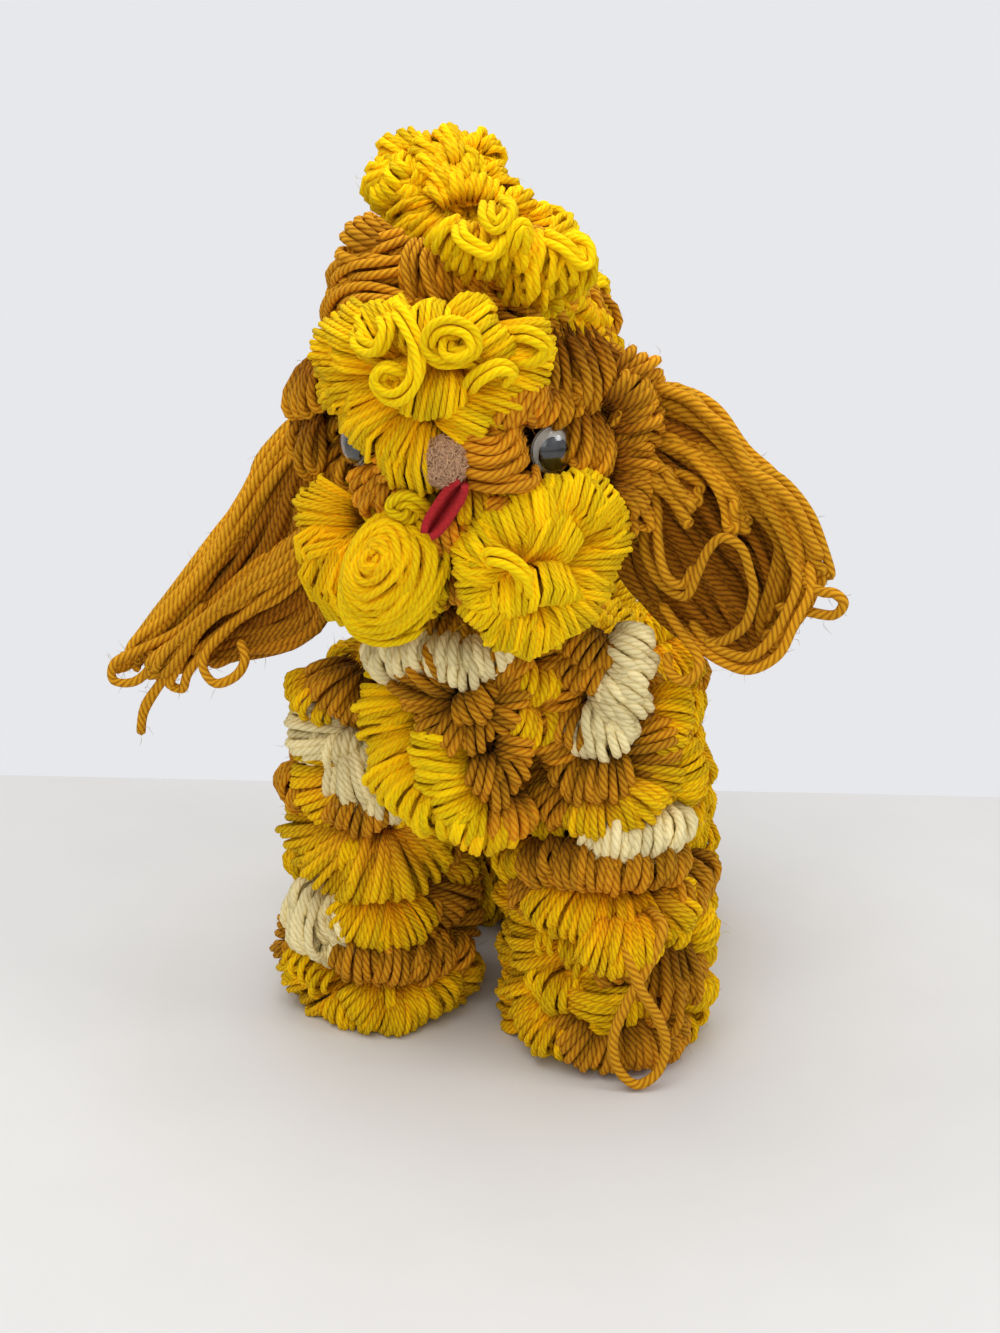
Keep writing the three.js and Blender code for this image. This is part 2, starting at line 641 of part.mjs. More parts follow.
// A loose strand that has slipped out of the strip and hangs in a loop over the left front foot.
function footLoop(grow = 0) {
  const foot = bodyPlaces.front_left;
  const clear = LEG_CORE_RADIUS + GAP + ruffleDepth(foot) + GAP + YARN / 2;
  const route = LOOP_ROUTE.map(([turn, out, height]) => {
    const radius = clear + out;
    return new THREE.Vector3(foot.x + radius * Math.sin(turn), foot.y - radius * Math.cos(turn), height);
  });
  const path = new THREE.CatmullRomCurve3(route, false, 'centripetal').getPoints(26);
  const rings = tubeRings(path, YARN / 2 + grow, 6);
  if (grow === 0) console.log(`foot_loop: least gap ${leastGap(rings, 5).toFixed(2)} mm`);
  return solidOf(skin(rings));
}

// Assembly

const group = new THREE.Group();

function add(name, solid, material) {
  const mesh = new THREE.Mesh(geometryOf(solid), material);
  mesh.name = name;
  group.add(mesh);
}

const bodyCoreSpace = bodyCore(GAP);
const bodySpace = bodyEnvelope(GAP);
const neckSpace = neckEnvelope(GAP);
const headSpace = headEnvelope(GAP);
const haunchSpaces = feet.map((foot) => haunch(foot, GAP));
const legSpaces = feet.map((foot) => legEnvelope(foot, GAP));
const eyeSpaces = [-1, 1].map((side) => eyeEnvelope(side, GAP));

add('spine_wire', spineWire(), materials.steel);
add('body_wadding', cut(bodyCore(), spineSlot, ...legWireSlots), materials.wadding);

const bodyStrip = woundStrip({
  name: 'body_strip',
  turns: BODY_TURNS - CLIMB,
  pitch: BODY_PITCH,
  depth: BODY_RUFFLE_DEPTH,
  coreRadius: () => BODY_CORE_RADIUS,
});
const bodyStripFront = BODY_STRIP_BACK - BODY_TURNS * BODY_PITCH;
const laidAlongBody = bodyStrip.rotate([0, 0, SEAM]).rotate([-90, 0, 0]).translate([0, bodyStripFront, bodyZ]);
add('body_strip', cut(laidAlongBody, ...legWireSlots), materials.variegated);

for (const [place, foot] of Object.entries(bodyPlaces)) {
  const wireSlot = legWire(foot, GAP);
  const joint = place.startsWith('front') ? 'shoulder' : 'hip';
  const strip = woundStrip({
    name: `${place}_leg_strip`,
    turns: LEG_TURNS - CLIMB,
    pitch: LEG_PITCH,
    depth: ruffleDepth(foot),
    coreRadius: () => LEG_CORE_RADIUS,
  });
  add(`${place}_leg_wire`, legWire(foot), materials.steel);
  add(`${place}_leg_wadding`, cut(legCore(foot), bodySpace, bodyCoreSpace, wireSlot), materials.wadding);
  const laid = strip.rotate([0, 0, SEAM]).translate([foot.x, foot.y, 0]);
  const pierced = place === 'front_left' ? cut(laid, footLoop(GAP)) : laid;
  add(`${place}_leg_strip`, pierced, materials.variegated);
  const space = legEnvelope(foot, GAP);
  const bedded = cut(haunch(foot), bodySpace, bodyCoreSpace, space, legCore(foot, GAP), wireSlot, neckSpace);
  add(`${place}_${joint}_tuft`, bedded, materials.variegated);
}

const neckStrip = woundStrip({
  name: 'neck_strip',
  turns: 1 - NECK_OPENING,
  pitch: NECK_HEIGHT,
  depth: NECK_RUFFLE_DEPTH,
  coreRadius: () => NECK_CORE_RADIUS,
});
add('neck_wadding', cut(neckCore(), bodyCoreSpace, spineSlot), materials.wadding);
const laidRoundNeck = neckStrip.rotate([0, 0, NECK_SEAM]).translate([0, NECK_Y, neckBase]);
add('neck_strip', cut(laidRoundNeck, bodySpace), materials.variegated);

const rosetteSpace = tuftAt(chestRosette, GAP);
const aroundChest = [bodyCoreSpace, bodySpace, neckCore(GAP), neckSpace, ...haunchSpaces, ...legSpaces];
add('chest_rosette', cut(tuftAt(chestRosette), ...aroundChest), materials.variegated);
add('chest_tuft', cut(tuftAt(chestTuft), rosetteSpace, ...aroundChest), materials.yellow);
const aroundRump = [bodyCoreSpace, bodySpace, spineSlot, ...haunchSpaces, ...legSpaces];
add('rump_tuft', cut(tuftAt(rump), ...aroundRump), materials.variegated);
add('foot_loop', footLoop(), materials.mustard);

const headStrip = woundStrip({
  name: 'head_strip',
  turns: HEAD_TURNS - CLIMB,
  pitch: HEAD_PITCH,
  depth: HEAD_RUFFLE_DEPTH,
  coreRadius: (height) => widestHeadCore(height - HEAD_PITCH / 2 + HEAD_STRIP_RISE),
});
const headStripBase = headBase + HEAD_STRIP_RISE - HEAD_PITCH / 2;
const laidRoundHead = headStrip.rotate([0, 0, HEAD_SEAM]).translate([0, HEAD_Y, headStripBase]);
add('head_wadding', cut(headCore(), spineSlot), materials.wadding);
add('head_strip', cut(laidRoundHead, ...eyeSpaces, earPocket(-1), earPocket(1)), materials.mustard);

// The topknot stands high on the right and falls to the left front in a lower swell.
const topknot = (grow = 0) => tuftAt(inHead(TOPKNOT_TOP), grow).add(tuftAt(inHead(TOPKNOT_FALL), grow));
const brow = inHead(BROW);
const muzzleSpace = tuftAt(muzzle, GAP);
const topknotSpace = topknot(GAP);
add('topknot', cut(topknot(), headSpace, headCore(GAP)), materials.yellow);
add('crest_tuft', cut(tuftAt(inHead(CREST)), headSpace, topknotSpace), materials.yellow);
add('brow_tuft', cut(tuftAt(brow), headSpace, topknotSpace, muzzleSpace, ...eyeSpaces), materials.yellow);
const mouth = tongue(GAP).hull();
add('muzzle_tuft', cut(tuftAt(muzzle), headSpace, noseBall(GAP), mouth, ...eyeSpaces), materials.mustard);
add('nose', noseBall(), materials.tan);
add('tongue', cut(tongue(), noseBall(GAP)), materials.red);

const sides = [['left', LEFT_EAR, LEFT_CHEEK], ['right', RIGHT_EAR, RIGHT_CHEEK]];
for (const [name, ear, cheek] of sides) {
  const side = ear.side;
  const cheekBeds = [headSpace, muzzleSpace, mouth, ...eyeSpaces];
  add(`${name}_cheek_tuft`, cut(tuftAt(inHead(cheek)), ...cheekBeds), materials.yellow);
  add(`${name}_eye_back`, eyeBack(side), materials.white);
  add(`${name}_eye_dome`, eyeDome(side), materials.clear);
  add(`${name}_pupil`, pupil(side), materials.black);
  add(`${name}_ear_hank`, earHank(ear, `${name}_ear_hank`), materials.mustard);
  add(`${name}_ear_tie`, earTie(ear, `${name}_ear_tie`), materials.mustard);
}

const tailTuft = {
  at: tailRoot.clone().addScaledVector(tailDirection, TAIL_LENGTH),
  radii: new THREE.Vector3(1, 1, 1).multiplyScalar(TAIL_TUFT_RADIUS),
};
add('tail_wire', tailWire(), materials.steel);
add('tail_pompom', cut(tuftAt(tailTuft), tailWire(GAP)), materials.yellow);

// The frame's origin is under the middle of the toy, on the surface it stands on.
const box = new THREE.Box3().setFromObject(group);
const middle = box.getCenter(new THREE.Vector3());
group.position.set(-middle.x, -middle.y, -box.min.z);

const poodle = new THREE.Group();
poodle.name = 'yarn_poodle';
poodle.add(group);

export default poodle;
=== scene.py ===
import math

import bmesh
import bpy
import numpy as np
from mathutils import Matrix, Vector, noise


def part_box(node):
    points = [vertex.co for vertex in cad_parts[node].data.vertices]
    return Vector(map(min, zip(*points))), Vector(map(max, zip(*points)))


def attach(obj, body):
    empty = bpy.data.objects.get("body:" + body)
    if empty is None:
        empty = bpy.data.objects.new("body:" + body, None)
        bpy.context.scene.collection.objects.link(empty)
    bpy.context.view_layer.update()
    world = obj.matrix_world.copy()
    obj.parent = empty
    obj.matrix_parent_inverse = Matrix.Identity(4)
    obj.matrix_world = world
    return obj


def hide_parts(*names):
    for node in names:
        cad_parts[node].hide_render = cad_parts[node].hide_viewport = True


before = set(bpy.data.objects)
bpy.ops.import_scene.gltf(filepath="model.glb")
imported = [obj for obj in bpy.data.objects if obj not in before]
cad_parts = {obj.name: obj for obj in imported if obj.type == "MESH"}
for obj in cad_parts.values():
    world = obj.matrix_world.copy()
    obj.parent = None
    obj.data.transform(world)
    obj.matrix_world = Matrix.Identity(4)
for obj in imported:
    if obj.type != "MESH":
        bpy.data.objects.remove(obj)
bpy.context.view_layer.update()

# White table with a back edge close behind the toy, a pale wall far behind it, and soft light
# from big lamps above. The camera looks slightly down on the toy from its left front.
MM = 0.001
scene = bpy.context.scene
scene.view_settings.view_transform = "Standard"

photo_camera = bpy.data.objects.new("photo_camera", bpy.data.cameras.new("photo_camera"))
scene.collection.objects.link(photo_camera)
camera_place = Vector((86.8, -422.9, 214.9)) * MM
camera_target = Vector((7.25, -48.8, 98.0)) * MM
photo_camera.location = camera_place
photo_camera.rotation_euler = (camera_target - camera_place).to_track_quat("-Z", "Y").to_euler()
photo_camera.data.sensor_fit = "VERTICAL"
photo_camera.data.sensor_height = 36
photo_camera.data.lens = 48.61
photo_camera.data.clip_start = 0.01
scene.camera = photo_camera


def linear(red, green, blue):
    """A colour as the eye sees it, each share from 0 to 255, in the values that a shader takes."""
    seen = np.array((red, green, blue)) / 255
    return np.where(seen > 0.04045, ((seen + 0.055) / 1.055) ** 2.4, seen / 12.92)


def feed(node, inputs):
    """Set a shader node's inputs, each to a value or linked to another node's output."""
    for socket, value in inputs.items():
        if isinstance(value, bpy.types.NodeSocket):
            node.id_data.links.new(value, node.inputs[socket])
        else:
            node.inputs[socket].default_value = value


finishes = {}


def new_finish(name, inputs):
    """The nodes and the shader of a new material, which is kept among the finishes by its name."""
    finish = bpy.data.materials.new(name)
    finish.use_nodes = True
    finishes[name] = finish
    nodes = finish.node_tree.nodes
    shader = nodes["Principled BSDF"]
    feed(shader, inputs)
    return nodes, shader


def grained_finish(name, dark, light, roughness, scale, relief):
    """A finish whose grain goes from dark to light and stands up by that relief in metres. Its shader
    comes back."""
    nodes, shader = new_finish(name, {"Roughness": roughness})
    place = nodes.new("ShaderNodeTexCoord")
    grain = nodes.new("ShaderNodeTexNoise")
    feed(grain, {"Vector": place.outputs["Object"], "Scale": scale, "Detail": 4})
    tint = nodes.new("ShaderNodeMix")
    tint.data_type = "RGBA"
    feed(tint, {0: grain.outputs["Fac"], 6: (*dark, 1), 7: (*light, 1)})
    bump = nodes.new("ShaderNodeBump")
    feed(bump, {"Distance": relief, "Height": grain.outputs["Fac"]})
    feed(shader, {"Base Color": tint.outputs[2], "Normal": bump.outputs[0]})
    return shader


def shaped(name, shape, finish):
    """A smooth object of that shape, which is used up by it, with the finish of that name."""
    mesh = bpy.data.meshes.new(name)
    shape.to_mesh(mesh)
    shape.free()
    mesh.shade_smooth()
    mesh.materials.append(finishes[finish])
    piece = bpy.data.objects.new(name, mesh)
    scene.collection.objects.link(piece)
    return piece


table_reach = 3.0
table_back_left = Vector((-0.1999, 0.1054, 0))
table_back_right = Vector((0.1327, 0.1549, 0))
table_edge = (table_back_right - table_back_left).normalized()
table_depth = Vector((table_edge.y, -table_edge.x, 0))
far_left = table_back_left - table_edge * table_reach
far_right = table_back_right + table_edge * table_reach
near_by = table_depth * table_reach
table_shape = bmesh.new()
table_corners = far_left, far_left + near_by, far_right + near_by, far_right
table_shape.faces.new([table_shape.verts.new(corner) for corner in table_corners])
table_tones = linear(214, 214, 214), linear(221, 221, 221)
grained_finish("white_table", *table_tones, roughness=0.7, scale=30, relief=0.00005)
shaped("table", table_shape, "white_table")

room = bpy.data.worlds.new("room")
room.use_nodes = True
scene.world = room
room_nodes = room.node_tree.nodes
room_light = room_nodes["Background"]
feed(room_light, {"Color": (1.0, 0.98, 0.95, 1), "Strength": 0.38})
wall_seen = room_nodes.new("ShaderNodeBackground")
feed(wall_seen, {"Color": (*linear(231, 232, 235), 1)})
ray = room_nodes.new("ShaderNodeLightPath")
shows_wall = ray.outputs["Is Camera Ray"]
for kind in ("Is Transmission Ray", "Is Glossy Ray"):
    either = room_nodes.new("ShaderNodeMath")
    either.operation = "MAXIMUM"
    feed(either, {0: shows_wall, 1: ray.outputs[kind]})
    shows_wall = either.outputs[0]
room_mix = room_nodes.new("ShaderNodeMixShader")
feed(room_mix, {0: shows_wall, 1: room_light.outputs[0], 2: wall_seen.outputs[0]})
feed(room_nodes["World Output"], {"Surface": room_mix.outputs[0]})

for lamp_name, lamp_place, lamp_size, lamp_power in (
    ("overhead_lamp", (-0.1, -0.1, 1.0), 0.9, 7.0),
    ("front_lamp", (0.0, -0.9, 0.75), 0.9, 3.6),
    ("side_lamp", (0.8, -0.2, 0.6), 0.3, 1.8),
):
    lamp = bpy.data.objects.new(lamp_name, bpy.data.lights.new(lamp_name, "AREA"))
    scene.collection.objects.link(lamp)
    lamp.location = lamp_place
    lamp.rotation_euler = (Vector((0, 0, 0.1)) - Vector(lamp_place)).to_track_quat("-Z", "Y").to_euler()
    lamp.data.size = lamp_size
    lamp.data.energy = lamp_power

# Loose loop of mustard yarn that hangs out of the left foot's windings. Soft plied acrylic yarn:
# the plies twist round each other, and a fine down of fibres stands off them.
FIBRE = 0.05
DOWN = 2.0
PLY_PITCH = 7.0
PLIES = 4
YARN_RUN = 300
SIDES = 6
draw = np.random.default_rng(7)

MUSTARD = linear(238, 174, 34)
BROWN = linear(150, 88, 6)
YELLOW = linear(255, 226, 8)
GOLD = linear(254, 202, 4)
CREAM = linear(252, 236, 180)


def yarn_finish(name, groove_shade_power, painted_groove_shade, ply_height):
    """Plied yarn: colour from each strand's own tone, with painted shade in the grooves between its
    plies, and fine fibres. The paler the tone, the lighter its painted groove shade."""
    nodes, shader = new_finish(name, {
        "Roughness": 0.85, "Specular IOR Level": 0.08,
        "Sheen Weight": 0.08, "Sheen Roughness": 0.6, "Sheen Tint": (1, 0.8, 0.2, 1),
    })

    def reckon(operation, first, second=0):
        node = nodes.new("ShaderNodeMath")
        node.operation = operation
        feed(node, {0: first, 1: second})
        return node.outputs[0]

    tone = nodes.new("ShaderNodeAttribute")
    tone.attribute_name = "tone"
    laid = nodes.new("ShaderNodeUVMap")
    laid.uv_map = "strand"
    split = nodes.new("ShaderNodeSeparateXYZ")
    feed(split, {0: laid.outputs[0]})
    run, around = split.outputs[:2]
    twist = reckon("ADD", reckon("DIVIDE", run, PLY_PITCH), around)
    ridge = reckon("ABSOLUTE", reckon("SINE", reckon("MULTIPLY", twist, PLIES * math.pi)))
    fibre_place = nodes.new("ShaderNodeCombineXYZ")
    feed(fibre_place, {0: reckon("MULTIPLY", run, 0.35), 1: reckon("MULTIPLY", twist, 30)})
    fibres = nodes.new("ShaderNodeTexNoise")
    feed(fibres, {"Vector": fibre_place.outputs[0], "Scale": 1.6, "Detail": 3})
    fibre = fibres.outputs["Fac"]
    # Painted shade in the grooves: the tone raised to a power, which deepens and reddens it, then darkened
    groove = nodes.new("ShaderNodeGamma")
    feed(groove, {"Color": tone.outputs["Color"], "Gamma": groove_shade_power})
    shaded = nodes.new("ShaderNodeHueSaturation")
    feed(shaded, {"Color": groove.outputs[0], "Value": painted_groove_shade})
    paleness = nodes.new("ShaderNodeSeparateColor")
    feed(paleness, {0: tone.outputs["Color"]})
    shown = reckon("ADD", reckon("MULTIPLY", ridge, 0.7), reckon("MULTIPLY", fibre, 0.3))
    shown = reckon("ADD", shown, paleness.outputs["Blue"])
    colour = nodes.new("ShaderNodeMix")
    colour.data_type = "RGBA"
    feed(colour, {0: shown, 6: shaded.outputs[0], 7: tone.outputs["Color"]})
    bump = nodes.new("ShaderNodeBump")
    height = reckon("ADD", ridge, reckon("MULTIPLY", fibre, 0.5))
    feed(bump, {"Height": height, "Strength": 0.8, "Distance": ply_height * MM})
    feed(shader, {"Base Color": colour.outputs[2], "Normal": bump.outputs[0]})


# Each finish's painted groove shade: the power that deepens the tone, and how far it is darkened
yarn_finish("mustard_yarn", groove_shade_power=2.0, painted_groove_shade=0.5, ply_height=0.45)
yarn_finish("yellow_yarn", groove_shade_power=2.2, painted_groove_shade=0.98, ply_height=0.22)
yarn_finish("variegated_yarn", groove_shade_power=2.5, painted_groove_shade=0.72, ply_height=0.34)


def stray_fibres(points, colours, thick, share):
    """Fine fibres that stand off the strands: a share of them for each strand, in its own tone."""
    count = round(len(points) * share)
    strand = draw.integers(len(points), size=count)
    place = draw.integers(1, points.shape[1] - 1, size=count)
    root = points[strand, place]
    out = draw.normal(0, 1, (count, 3))
    out /= np.linalg.norm(out, axis=1, keepdims=True)
    sway = draw.normal(0, 0.6, (count, 3))
    length = draw.uniform(0.8, 2.6, (count, 1))
    bent = root + out * (thick + length * 0.6)
    fibres = np.stack((root + out * thick * 0.8, bent, bent + (out * 0.5 + sway) * length), axis=1)
    return fibres, np.repeat(colours[strand, place][:, None], 3, axis=1), FIBRE


def fix(piece, body, slot, *nodes):
    """The piece moves with that body and stands for these nodes, which are hidden. The slot is not used.
    """
    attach(piece, body)
    if nodes:
        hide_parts(*nodes)


def spin(name, parts, slot, body, *nodes, down=DOWN):
    """One piece of yarn, fixed as said there. Each part is its strands' points, in millimetres, their
    tones and half their thickness. Down is the count of stray fibres for each strand."""
    line = bpy.data.curves.new(name, "CURVE")
    line.dimensions = "3D"
    line.bevel_depth = MM
    line.bevel_resolution = 1
    runs, tones = [], []
    for points, colours, thick in (*parts, *(stray_fibres(*part, down) for part in parts)):
        count = points.shape[1]
        taper = np.full(count, thick)
        taper[[0, -1]] = 0
        run = np.zeros(points.shape[:2])
        run[:, 1:] = np.linalg.norm(np.diff(points, axis=1), axis=2).cumsum(axis=1)
        run += draw.uniform(0, YARN_RUN, (len(points), 1))
        runs.append(run.ravel())
        tones.append(colours.reshape(-1, 3))
        placed = np.ones((*points.shape[:2], 4))
        placed[..., :3] = points * MM
        placed[..., 2] = np.maximum(placed[..., 2], thick * MM)
        for strand in placed:
            spline = line.splines.new("POLY")
            spline.points.add(count - 1)
            spline.points.foreach_set("co", strand.ravel())
            spline.points.foreach_set("radius", taper)
    tube = bpy.data.objects.new(name + "_line", line)
    scene.collection.objects.link(tube)
    mesh = bpy.data.meshes.new_from_object(tube)
    bpy.data.objects.remove(tube)
    bpy.data.curves.remove(line)
    corner = np.empty(len(mesh.loops), int)
    mesh.loops.foreach_get("vertex_index", corner)
    side = (corner % SIDES).reshape(-1, 4)
    seam = (side.max(axis=1) == SIDES - 1) & (side.min(axis=1) == 0)
    side = np.where(seam[:, None] & (side == 0), SIDES, side).ravel()
    run = np.concatenate(runs)
    laid = mesh.uv_layers[0]
    laid.name = "strand"
    laid.data.foreach_set("uv", np.column_stack((run[corner // SIDES], side / SIDES)).ravel())
    tone = mesh.color_attributes.new("tone", "FLOAT_COLOR", "POINT")
    colours = np.repeat(np.concatenate(tones), SIDES, axis=0)
    tone.data.foreach_set("color", np.column_stack((colours, np.ones(len(colours)))).ravel())
    shape = bmesh.new()
    shape.from_mesh(mesh)
    bmesh.ops.remove_doubles(shape, verts=shape.verts, dist=1e-7)
    shape.to_mesh(mesh)
    shape.free()
    mesh.shade_smooth()
    mesh.materials.clear()
    mesh.materials.append(finishes[slot])
    mesh.name = name
    piece = bpy.data.objects.new(name, mesh)
    scene.collection.objects.link(piece)
    fix(piece, body, slot, *nodes)
    return piece


def middle(node):
    """Centre of a solid's box in millimetres."""
    low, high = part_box(node)
    return np.array(low + high) / 2 / MM


def smooth_line(points, steps):
    """Points of a smooth line through the given ones, as a flexible strand lies."""
    points = np.asarray(points, float)
    padded = np.vstack((2 * points[0] - points[1], points, 2 * points[-1] - points[-2]))
    share = np.linspace(0, 1, steps, endpoint=False)[:, None]
    spans = []
    for a, b, c, d in zip(padded, padded[1:], padded[2:], padded[3:]):
        bend = 2 * b + (c - a) * share + (2 * a - 5 * b + 4 * c - d) * share**2
        spans.append((bend + (3 * b - a - 3 * c + d) * share**3) / 2)
    return np.vstack((*spans, points[-1:]))


FOOT_OUT = 29.05
FOOT_YARN = 2.5
FOOT_LOOP_ROUTE = (
    (0.57, -7, 42), (0.56, 1.5, 41), (0.45, 2.6, 33), (0.3, 2.4, 24), (0.2, 1.5, 14),
    (0.24, 0.8, 6), (0.39, 1.3, 1.8), (0.55, 2, 5), (0.59, 2.7, 12), (0.51, 3.3, 19.5),
    (0.39, 3.9, 26.5), (0.31, 3, 33), (0.25, -1, 37.5), (0.23, -7, 38.5),
)
left_foot = middle("front_left_leg_wadding")
foot_loop_points = []
for turn, out, height in FOOT_LOOP_ROUTE:
    aside, ahead = (FOOT_OUT + out) * math.sin(turn), (FOOT_OUT + out) * math.cos(turn)
    foot_loop_points.append((left_foot[0] + aside, left_foot[1] - ahead, height))
foot_loop_line = smooth_line(foot_loop_points, steps=8)
foot_loop_tones = np.tile(MUSTARD, (1, len(foot_loop_line), 1))
foot_loop_strand = foot_loop_line[None], foot_loop_tones, FOOT_YARN / 2
foot_loop = spin("foot_loop_yarn", [foot_loop_strand], "mustard_yarn", "body", "foot_loop")

# Armature: soft steel wire, bent by hand into a spine with a tail and four legs. It holds the toy up
# and lies hidden under the wadding that is bound round it.
wire_tones = (0.36, 0.36, 0.37), (0.48, 0.48, 0.49)
wire_shader = grained_finish("drawn_wire", *wire_tones, roughness=0.35, scale=900, relief=0.0001)
feed(wire_shader, {"Metallic": 1})
LEG_NAMES = ("front_left", "front_right", "hind_left", "hind_right")
for node in ("spine_wire", "tail_wire", *(f"{leg}_leg_wire" for leg in LEG_NAMES)):
    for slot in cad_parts[node].material_slots:
        slot.material = finishes["drawn_wire"]

# Wadding: rolls of fibre fill bound round the wire, in the brown of the yarn over them darkened by
# painted shade, so that nothing pale shows in the shaded gaps between the loops.
wadding_shade_tones = BROWN * 0.35, BROWN * 0.8
grained_finish("bound_wadding", *wadding_shade_tones, roughness=0.95, scale=700, relief=0.0006)


def pad(node, body, boxiness):
    """A lumpy roll of wadding in the place of that solid. Boxiness flattens the roll's ends."""
    low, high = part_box(node)
    centre, half = (low + high) / 2, (high - low) / 2 * 0.99
    shape = bmesh.new()
    bmesh.ops.create_uvsphere(shape, u_segments=32, v_segments=24, radius=1)
    long_way = max(range(3), key=lambda axis: half[axis])
    for vert in shape.verts:
        end = vert.co[long_way]
        if boxiness:
            round_part = math.sqrt(max(1e-9, 1 - end * end))
            fuller = (1 - abs(end) ** boxiness) ** (1 / boxiness)
            for axis in range(3):
                if axis != long_way:
                    vert.co[axis] *= fuller / round_part
        lumps = 0.97 + 0.03 * noise.noise(vert.co * 3)
        vert.co = centre + Vector(a * b for a, b in zip(vert.co * lumps, half))
    roll = shaped(node + "_roll", shape, "bound_wadding")
    fix(roll, body, "wadding", node)


pad("body_wadding", "body", boxiness=8)
pad("neck_wadding", "body", boxiness=8)
pad("head_wadding", "head", boxiness=0)
for leg in LEG_NAMES:
    pad(f"{leg}_leg_wadding", "body", boxiness=10)

# Wound strips of gathered yarn loops on the four legs. Each tier is a ring of puffs: a puff is a
# fan of loops, tied where they start and folded back at the rim. In front the puffs lie as seen.
LOOP_POINTS = 11
BEND_STEPS = 41
UP = np.array((0.0, 0.0, 1.0))
FRONT = np.array((0.0, -1.0, 0.0))
GOLDEN = (math.sqrt(5) - 1) / 2
# Each yarn's tone at a loop's root and at its rim, half its thickness and the loops' spacing.
# The darker, more orange root tones are painted shade deep in the puffs; v's mustard root is its own
# colour.
YARNS = {
    "y": (linear(246, 180, 4), linear(255, 217, 6), 0.84, 1.35),
    "t": (linear(255, 212, 4), YELLOW, 0.84, 1.35),
    "f": (GOLD, YELLOW, 0.66, 1.0),
    # m and h are one mustard yarn: m darkened by painted shade for the low body, neck and legs, h
    # lightened by painted light for the head
    "m": (BROWN * 0.7, MUSTARD * 0.9, 1.04, 1.8),
    "h": (BROWN * 1.2, MUSTARD * 1.12, 1.04, 1.8),
    "c": (CREAM * 0.85, CREAM, 1.15, 1.9),
    "v": (MUSTARD, linear(255, 217, 6), 0.94, 1.55),
}


def unit(vectors):
    vectors = np.asarray(vectors, float)
    return vectors / np.linalg.norm(vectors, axis=-1, keepdims=True)


def loops(root, out, face, reach, plump, curl, roll, yarn):
    """Yarn loops from their roots: out to the rim, round it and back. Face is the loop's upper side.
    Curl bends the whole loop down and roll its rim alone, both in radians."""
    root_tone_and_shade, rim_tone, thick, spacing = yarn
    share = np.linspace(-1, 1, LOOP_POINTS)
    share = np.sign(share) * np.abs(share) ** 1.25
    far = np.cos(share * math.pi / 2)
    way = np.linspace(0, 1, BEND_STEPS)
    at = np.round(far * (BEND_STEPS - 1)).astype(int)
    bends = curl[:, None] * way + roll * way**3
    along = (np.cumsum(np.cos(bends), axis=1) - 1)[:, at] * reach[:, None] / (BEND_STEPS - 1)
    drop = np.cumsum(np.sin(bends), axis=1)[:, at] * reach[:, None] / (BEND_STEPS - 1)
    bend = bends[:, at]
    lift = plump[:, None] * np.sin(share * math.pi)[None]
    forward = along + lift * np.sin(bend)
    upward = lift * np.cos(bend) - drop
    points = root[:, None] + out[:, None] * forward[..., None] + face[:, None] * upward[..., None]
    points += np.cross(face, out)[:, None] * (spacing * share / 2)[None, :, None]
    # Towards the root the tone goes over to the root tone: painted shade, except v's own mustard root
    blend = np.clip((far - 0.3) / 0.6, 0, 1)[None, :, None]
    colours = root_tone_and_shade * (1 - blend) + rim_tone * blend
    own = draw.uniform(0.82, 1.14, (len(root), 1, 1))
    return points, np.broadcast_to(colours, points.shape) * own, thick


def petal(
    root, tip, face, spread, yarn, plump=4.5, width=6.0, curl=0.4, roll=0.0, edge=0.2, wave=0.12, loose=1.0
):
    """A fan of loops from a gathered root: spread is the angle between its outer loops, and loose is
    the share of disorder among them."""
    root, tip, face = (np.asarray(place, float) for place in (root, tip, face))
    length = np.linalg.norm(tip - root)
    out = (tip - root) / length
    face = unit(face - out * (face @ out))
    across = np.cross(face, out)
    count = max(3, round((0.9 * length * spread + width) / yarn[-1]))
    place = np.linspace(-1, 1, count)
    angle = place * spread / 2 + draw.normal(0, 0.03 * loose, count)
    outs = out * np.cos(angle)[:, None] + across * np.sin(angle)[:, None]
    ripple = wave * np.sin(place * 5 + draw.uniform(0, 6)) + draw.normal(0, 0.05 * loose, count)
    outs = unit(outs + face * ripple[:, None])
    faces = unit(face - outs * (outs @ face)[:, None])
    roots = root + across * (place * width / 2)[:, None]
    behind = np.arange(count) % 2
    fullness = 1 - edge * place**2 - 0.02 * loose * behind
    reach = length * (1 + 0.1 * roll) * fullness * draw.normal(1, 0.025 * loose, count)
    plumps = plump * (1 - 0.35 * place**2 - 0.05 * behind) * draw.normal(1, 0.06, count)
    curls = curl + draw.normal(0, 0.06 * loose, count)
    curls = np.where(np.abs(curls) < 0.05, 0.05, curls)
    return loops(roots, outs, faces, reach, plumps, curls, roll, yarn)


def tier(centre, axis, front, inner, reach, tones, lean, start=0.0, **form):
    """A ring of puffs round an axis, one for each letter of tones, from the front towards the left.
    A space leaves a puff out."""
    axis, front = np.asarray(axis, float), np.asarray(front, float)
    aside = np.cross(axis, front)
    puffs = []
    for place, letter in enumerate(tones):
        if letter == " ":
            continue
        turn = math.radians(start) + 2 * math.pi * place / len(tones) + draw.normal(0, 0.08)
        out = front * math.cos(turn) + aside * math.sin(turn)
        slope = lean + (0.25 if place % 2 else -0.25) + draw.normal(0, 0.2)
        root = centre + out * inner + axis * draw.normal(0, 1.2)
        tip = root + (out * math.cos(slope) + axis * math.sin(slope)) * reach * draw.normal(1, 0.05)
        spread = 2 * math.pi / len(tones) * 1.25
        puffs.append(petal(root, tip, axis, spread, YARNS[letter], **form))
    return puffs


def beside(centre, turn, height, radius):
    """A place round an upright axis, its turn in degrees from the front towards the toy's left."""
    angle = math.radians(turn)
    return centre + np.array((radius * math.sin(angle), -radius * math.cos(angle), height))


